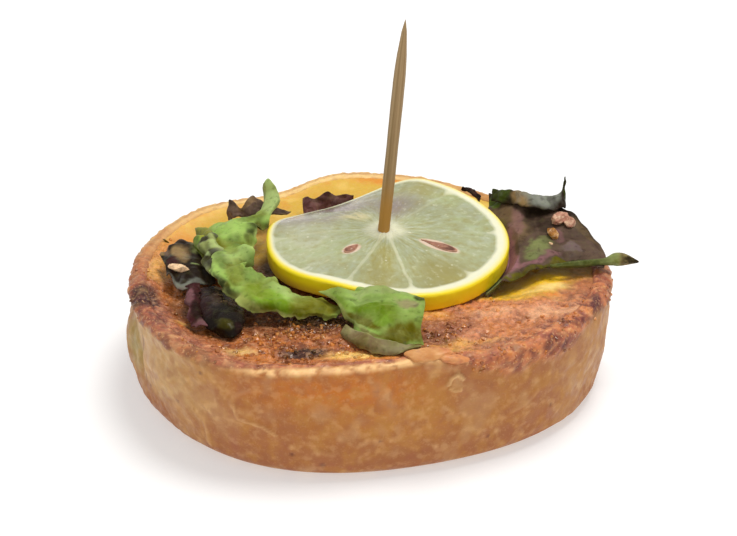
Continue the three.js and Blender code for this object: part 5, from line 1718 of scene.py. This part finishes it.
def nut_chips(leaves):
    material, build = new_material("nut")
    mottle = build.mottle(leaves.nut_light, leaves.nut_dark, 800, 0.5, 0.35)
    finish_material(build, mottle["Colour"], 0.55, mottle["Height"], 0.6, 0.4, Specular_IOR_Level=0.25)
    shares = np.linspace(0, 1, 101)
    for n, (name, leaf_name, u, v, size, colour) in enumerate(NUT_CHIPS):
        if leaf_name:
            patch, _, _ = leaf_surface(LEAVES[leaf_name], shares, shares, leaves.thickness / MM / 2 + 0.3)
            at = patch[round(u * 100), round(v * 100)] + (0, 0, 0.25 * size[2])
        else:
            at = np.array([u, v, filling_top(u, v) + 0.3])
        points, *faces = pebble(at, np.array(size) / 2, (12 * n, 8 - 9 * n, 35 * n), 201 + n, 0.3, 26, 40, 9)
        coat = Coat(len(points), leaves, colour)
        coat.lay("nut_brown", 0.6 * smooth(ripple(points, 1.3, 211 + n), 0.1, 0.5))
        coat.lay("nut_pale", 0.5 * smooth(-ripple(points, 1.1, 213 + n), 0.1, 0.5))
        mesh = new_mesh(name, points, *faces, tint=coat.colours)
        add_piece(name, mesh, material, [leaf_name] if leaf_name else ())


# ---------------- stage

CAMERA_PLACE, CAMERA_TARGET = (0.00037, -0.26964, 0.15553), (0.00037, 0, 0.02402)
FLOOR_HALF, FLOOR_DROP = 3, 0.0002


def add_looking(name, data, place, target):
    """Adds a lamp or camera that looks from its place at a target."""
    made = add_object(name, data)
    made.location = place
    made.rotation_mode = "QUATERNION"
    made.rotation_quaternion = (Vector(target) - Vector(place)).to_track_quat("-Z", "Y")
    return made


def soft_lamp(name, place, target, size, power, colour):
    data = bpy.data.lights.new(name, "AREA")
    data.shape, data.size, data.energy, data.color = "DISK", size, power, colour
    add_looking(name, data, place, target)


def build_stage(stage):
    mesh = bpy.data.meshes.new("floor")
    corners = [(x * FLOOR_HALF, y * FLOOR_HALF, -FLOOR_DROP) for x, y in ((-1, -1), (1, -1), (1, 1), (-1, 1))]
    mesh.from_pydata(corners, [], [(0, 1, 2, 3)])
    floor = add_object("floor", mesh)
    material, build = new_material("floor")
    patchy = build.noise(build.here(), 3, 1)
    far = build.node("ShaderNodeVectorMath", {0: build.here()}, operation="LENGTH").outputs["Value"]
    glow = {"Emission_Color": (1, 1, 1), "Emission_Strength": build.span(far, 0.1, 0.5, 0.42, 0.8)}
    finish_material(build, build.mix(patchy, stage.floor, [c * 0.985 for c in stage.floor]), 0.85, **glow)
    mesh.materials.append(material)
    scene = bpy.context.scene
    scene.world = bpy.data.worlds.new("studio")
    scene.world.use_nodes = True
    background = scene.world.node_tree.nodes["Background"]
    background.inputs["Color"].default_value = (1, 1, 1, 1)
    background.inputs["Strength"].default_value = stage.sky_light
    soft_lamp("key", (0.1, 0.02, 0.52), (0, 0, 0.03), 0.22, stage.key_light, (1, 0.98, 0.95))
    soft_lamp("fill", (-0.1, -0.55, 0.3), (0, 0, 0.02), 0.45, stage.fill_light, (1, 0.98, 0.96))
    camera = add_looking("camera", bpy.data.cameras.new("camera"), CAMERA_PLACE, CAMERA_TARGET)
    camera.data.lens, camera.data.sensor_width = stage.focal_length, 36
    camera.data.clip_start, camera.data.clip_end = 0.01, 20
    scene.camera = camera
    view = scene.view_settings
    view.view_transform, view.look, view.exposure = "Standard", "None", 0


# ---------------- operators and panel


class Maker:
    """What the operators share: each makes its pieces from the scene's settings."""

    def execute(self, context):
        self.make(context.scene)
        return {"FINISHED"}


class QUICHE_OT_stage(Maker, bpy.types.Operator):
    """Makes the floor, the light and the camera"""

    bl_idname, bl_label = "quiche.stage", "Stage"

    def make(self, scene):
        build_stage(scene.quiche_stage)


class QUICHE_OT_case(Maker, bpy.types.Operator):
    """Makes the pastry case and the flake on its rim"""

    bl_idname, bl_label = "quiche.case", "Pastry case"

    def make(self, scene):
        baked_case(scene.quiche_pastry)
        rim_flake(scene.quiche_pastry)


class QUICHE_OT_filling(Maker, bpy.types.Operator):
    """Makes the baked egg filling"""

    bl_idname, bl_label = "quiche.filling", "Egg filling"

    def make(self, scene):
        egg_filling(scene.quiche_filling, scene.quiche_pastry)


class QUICHE_OT_grains(Maker, bpy.types.Operator):
    """Scatters browned grains over the filling and the rim"""

    bl_idname, bl_label = "quiche.grains", "Browned grains"

    def make(self, scene):
        scatter_grains(scene.quiche_filling)


class QUICHE_OT_lemon(Maker, bpy.types.Operator):
    """Makes the lemon slice and its pips"""

    bl_idname, bl_label = "quiche.lemon", "Lemon slice"

    def make(self, scene):
        lemon_round(scene.quiche_lemon)
        lemon_pips(scene.quiche_lemon)


class QUICHE_OT_pick(Maker, bpy.types.Operator):
    """Makes the bamboo pick"""

    bl_idname, bl_label = "quiche.pick", "Bamboo pick"

    def make(self, scene):
        bamboo_pick(scene.quiche_pick)


class QUICHE_OT_leaves(Maker, bpy.types.Operator):
    """Makes the lettuce leaves and the stalk"""

    bl_idname, bl_label = "quiche.leaves", "Lettuce"

    def make(self, scene):
        for name in LEAVES:
            leaf_sheet(name, scene.quiche_leaves)
        leaf_stalk(scene.quiche_leaves)


class QUICHE_OT_nuts(Maker, bpy.types.Operator):
    """Makes the chips of nut on the leaves"""

    bl_idname, bl_label = "quiche.nuts", "Nut chips"

    def make(self, scene):
        nut_chips(scene.quiche_leaves)


OPERATORS = [QUICHE_OT_stage, QUICHE_OT_case, QUICHE_OT_filling, QUICHE_OT_grains]
OPERATORS += [QUICHE_OT_lemon, QUICHE_OT_pick, QUICHE_OT_leaves, QUICHE_OT_nuts]


class QUICHE_PT_panel(bpy.types.Panel):
    """Lists the quiche's settings and the buttons that make its pieces"""

    bl_idname, bl_label, bl_category = "QUICHE_PT_panel", "Quiche", "Quiche"
    bl_space_type, bl_region_type = "VIEW_3D", "UI"

    def draw(self, context):
        for operator in OPERATORS:
            self.layout.operator(operator.bl_idname)
        for key in SETTINGS:
            settings = getattr(context.scene, key)
            box = self.layout.box()
            for name in settings.bl_rna.properties.keys():
                if name not in ("rna_type", "name"):
                    box.prop(settings, name, text=name.replace("_", " ").capitalize())


CLASSES = [*SETTINGS.values(), *OPERATORS, QUICHE_PT_panel]


def register():
    for cls in CLASSES:
        bpy.utils.register_class(cls)
    for key, cls in SETTINGS.items():
        setattr(bpy.types.Scene, key, bpy.props.PointerProperty(type=cls))


def unregister():
    for key in SETTINGS:
        delattr(bpy.types.Scene, key)
    for cls in reversed(CLASSES):
        bpy.utils.unregister_class(cls)


def main():
    register()
    for operator in OPERATORS:
        group, name = operator.bl_idname.split(".")
        getattr(getattr(bpy.ops, group), name)()


if __name__ == "__main__":
    main()
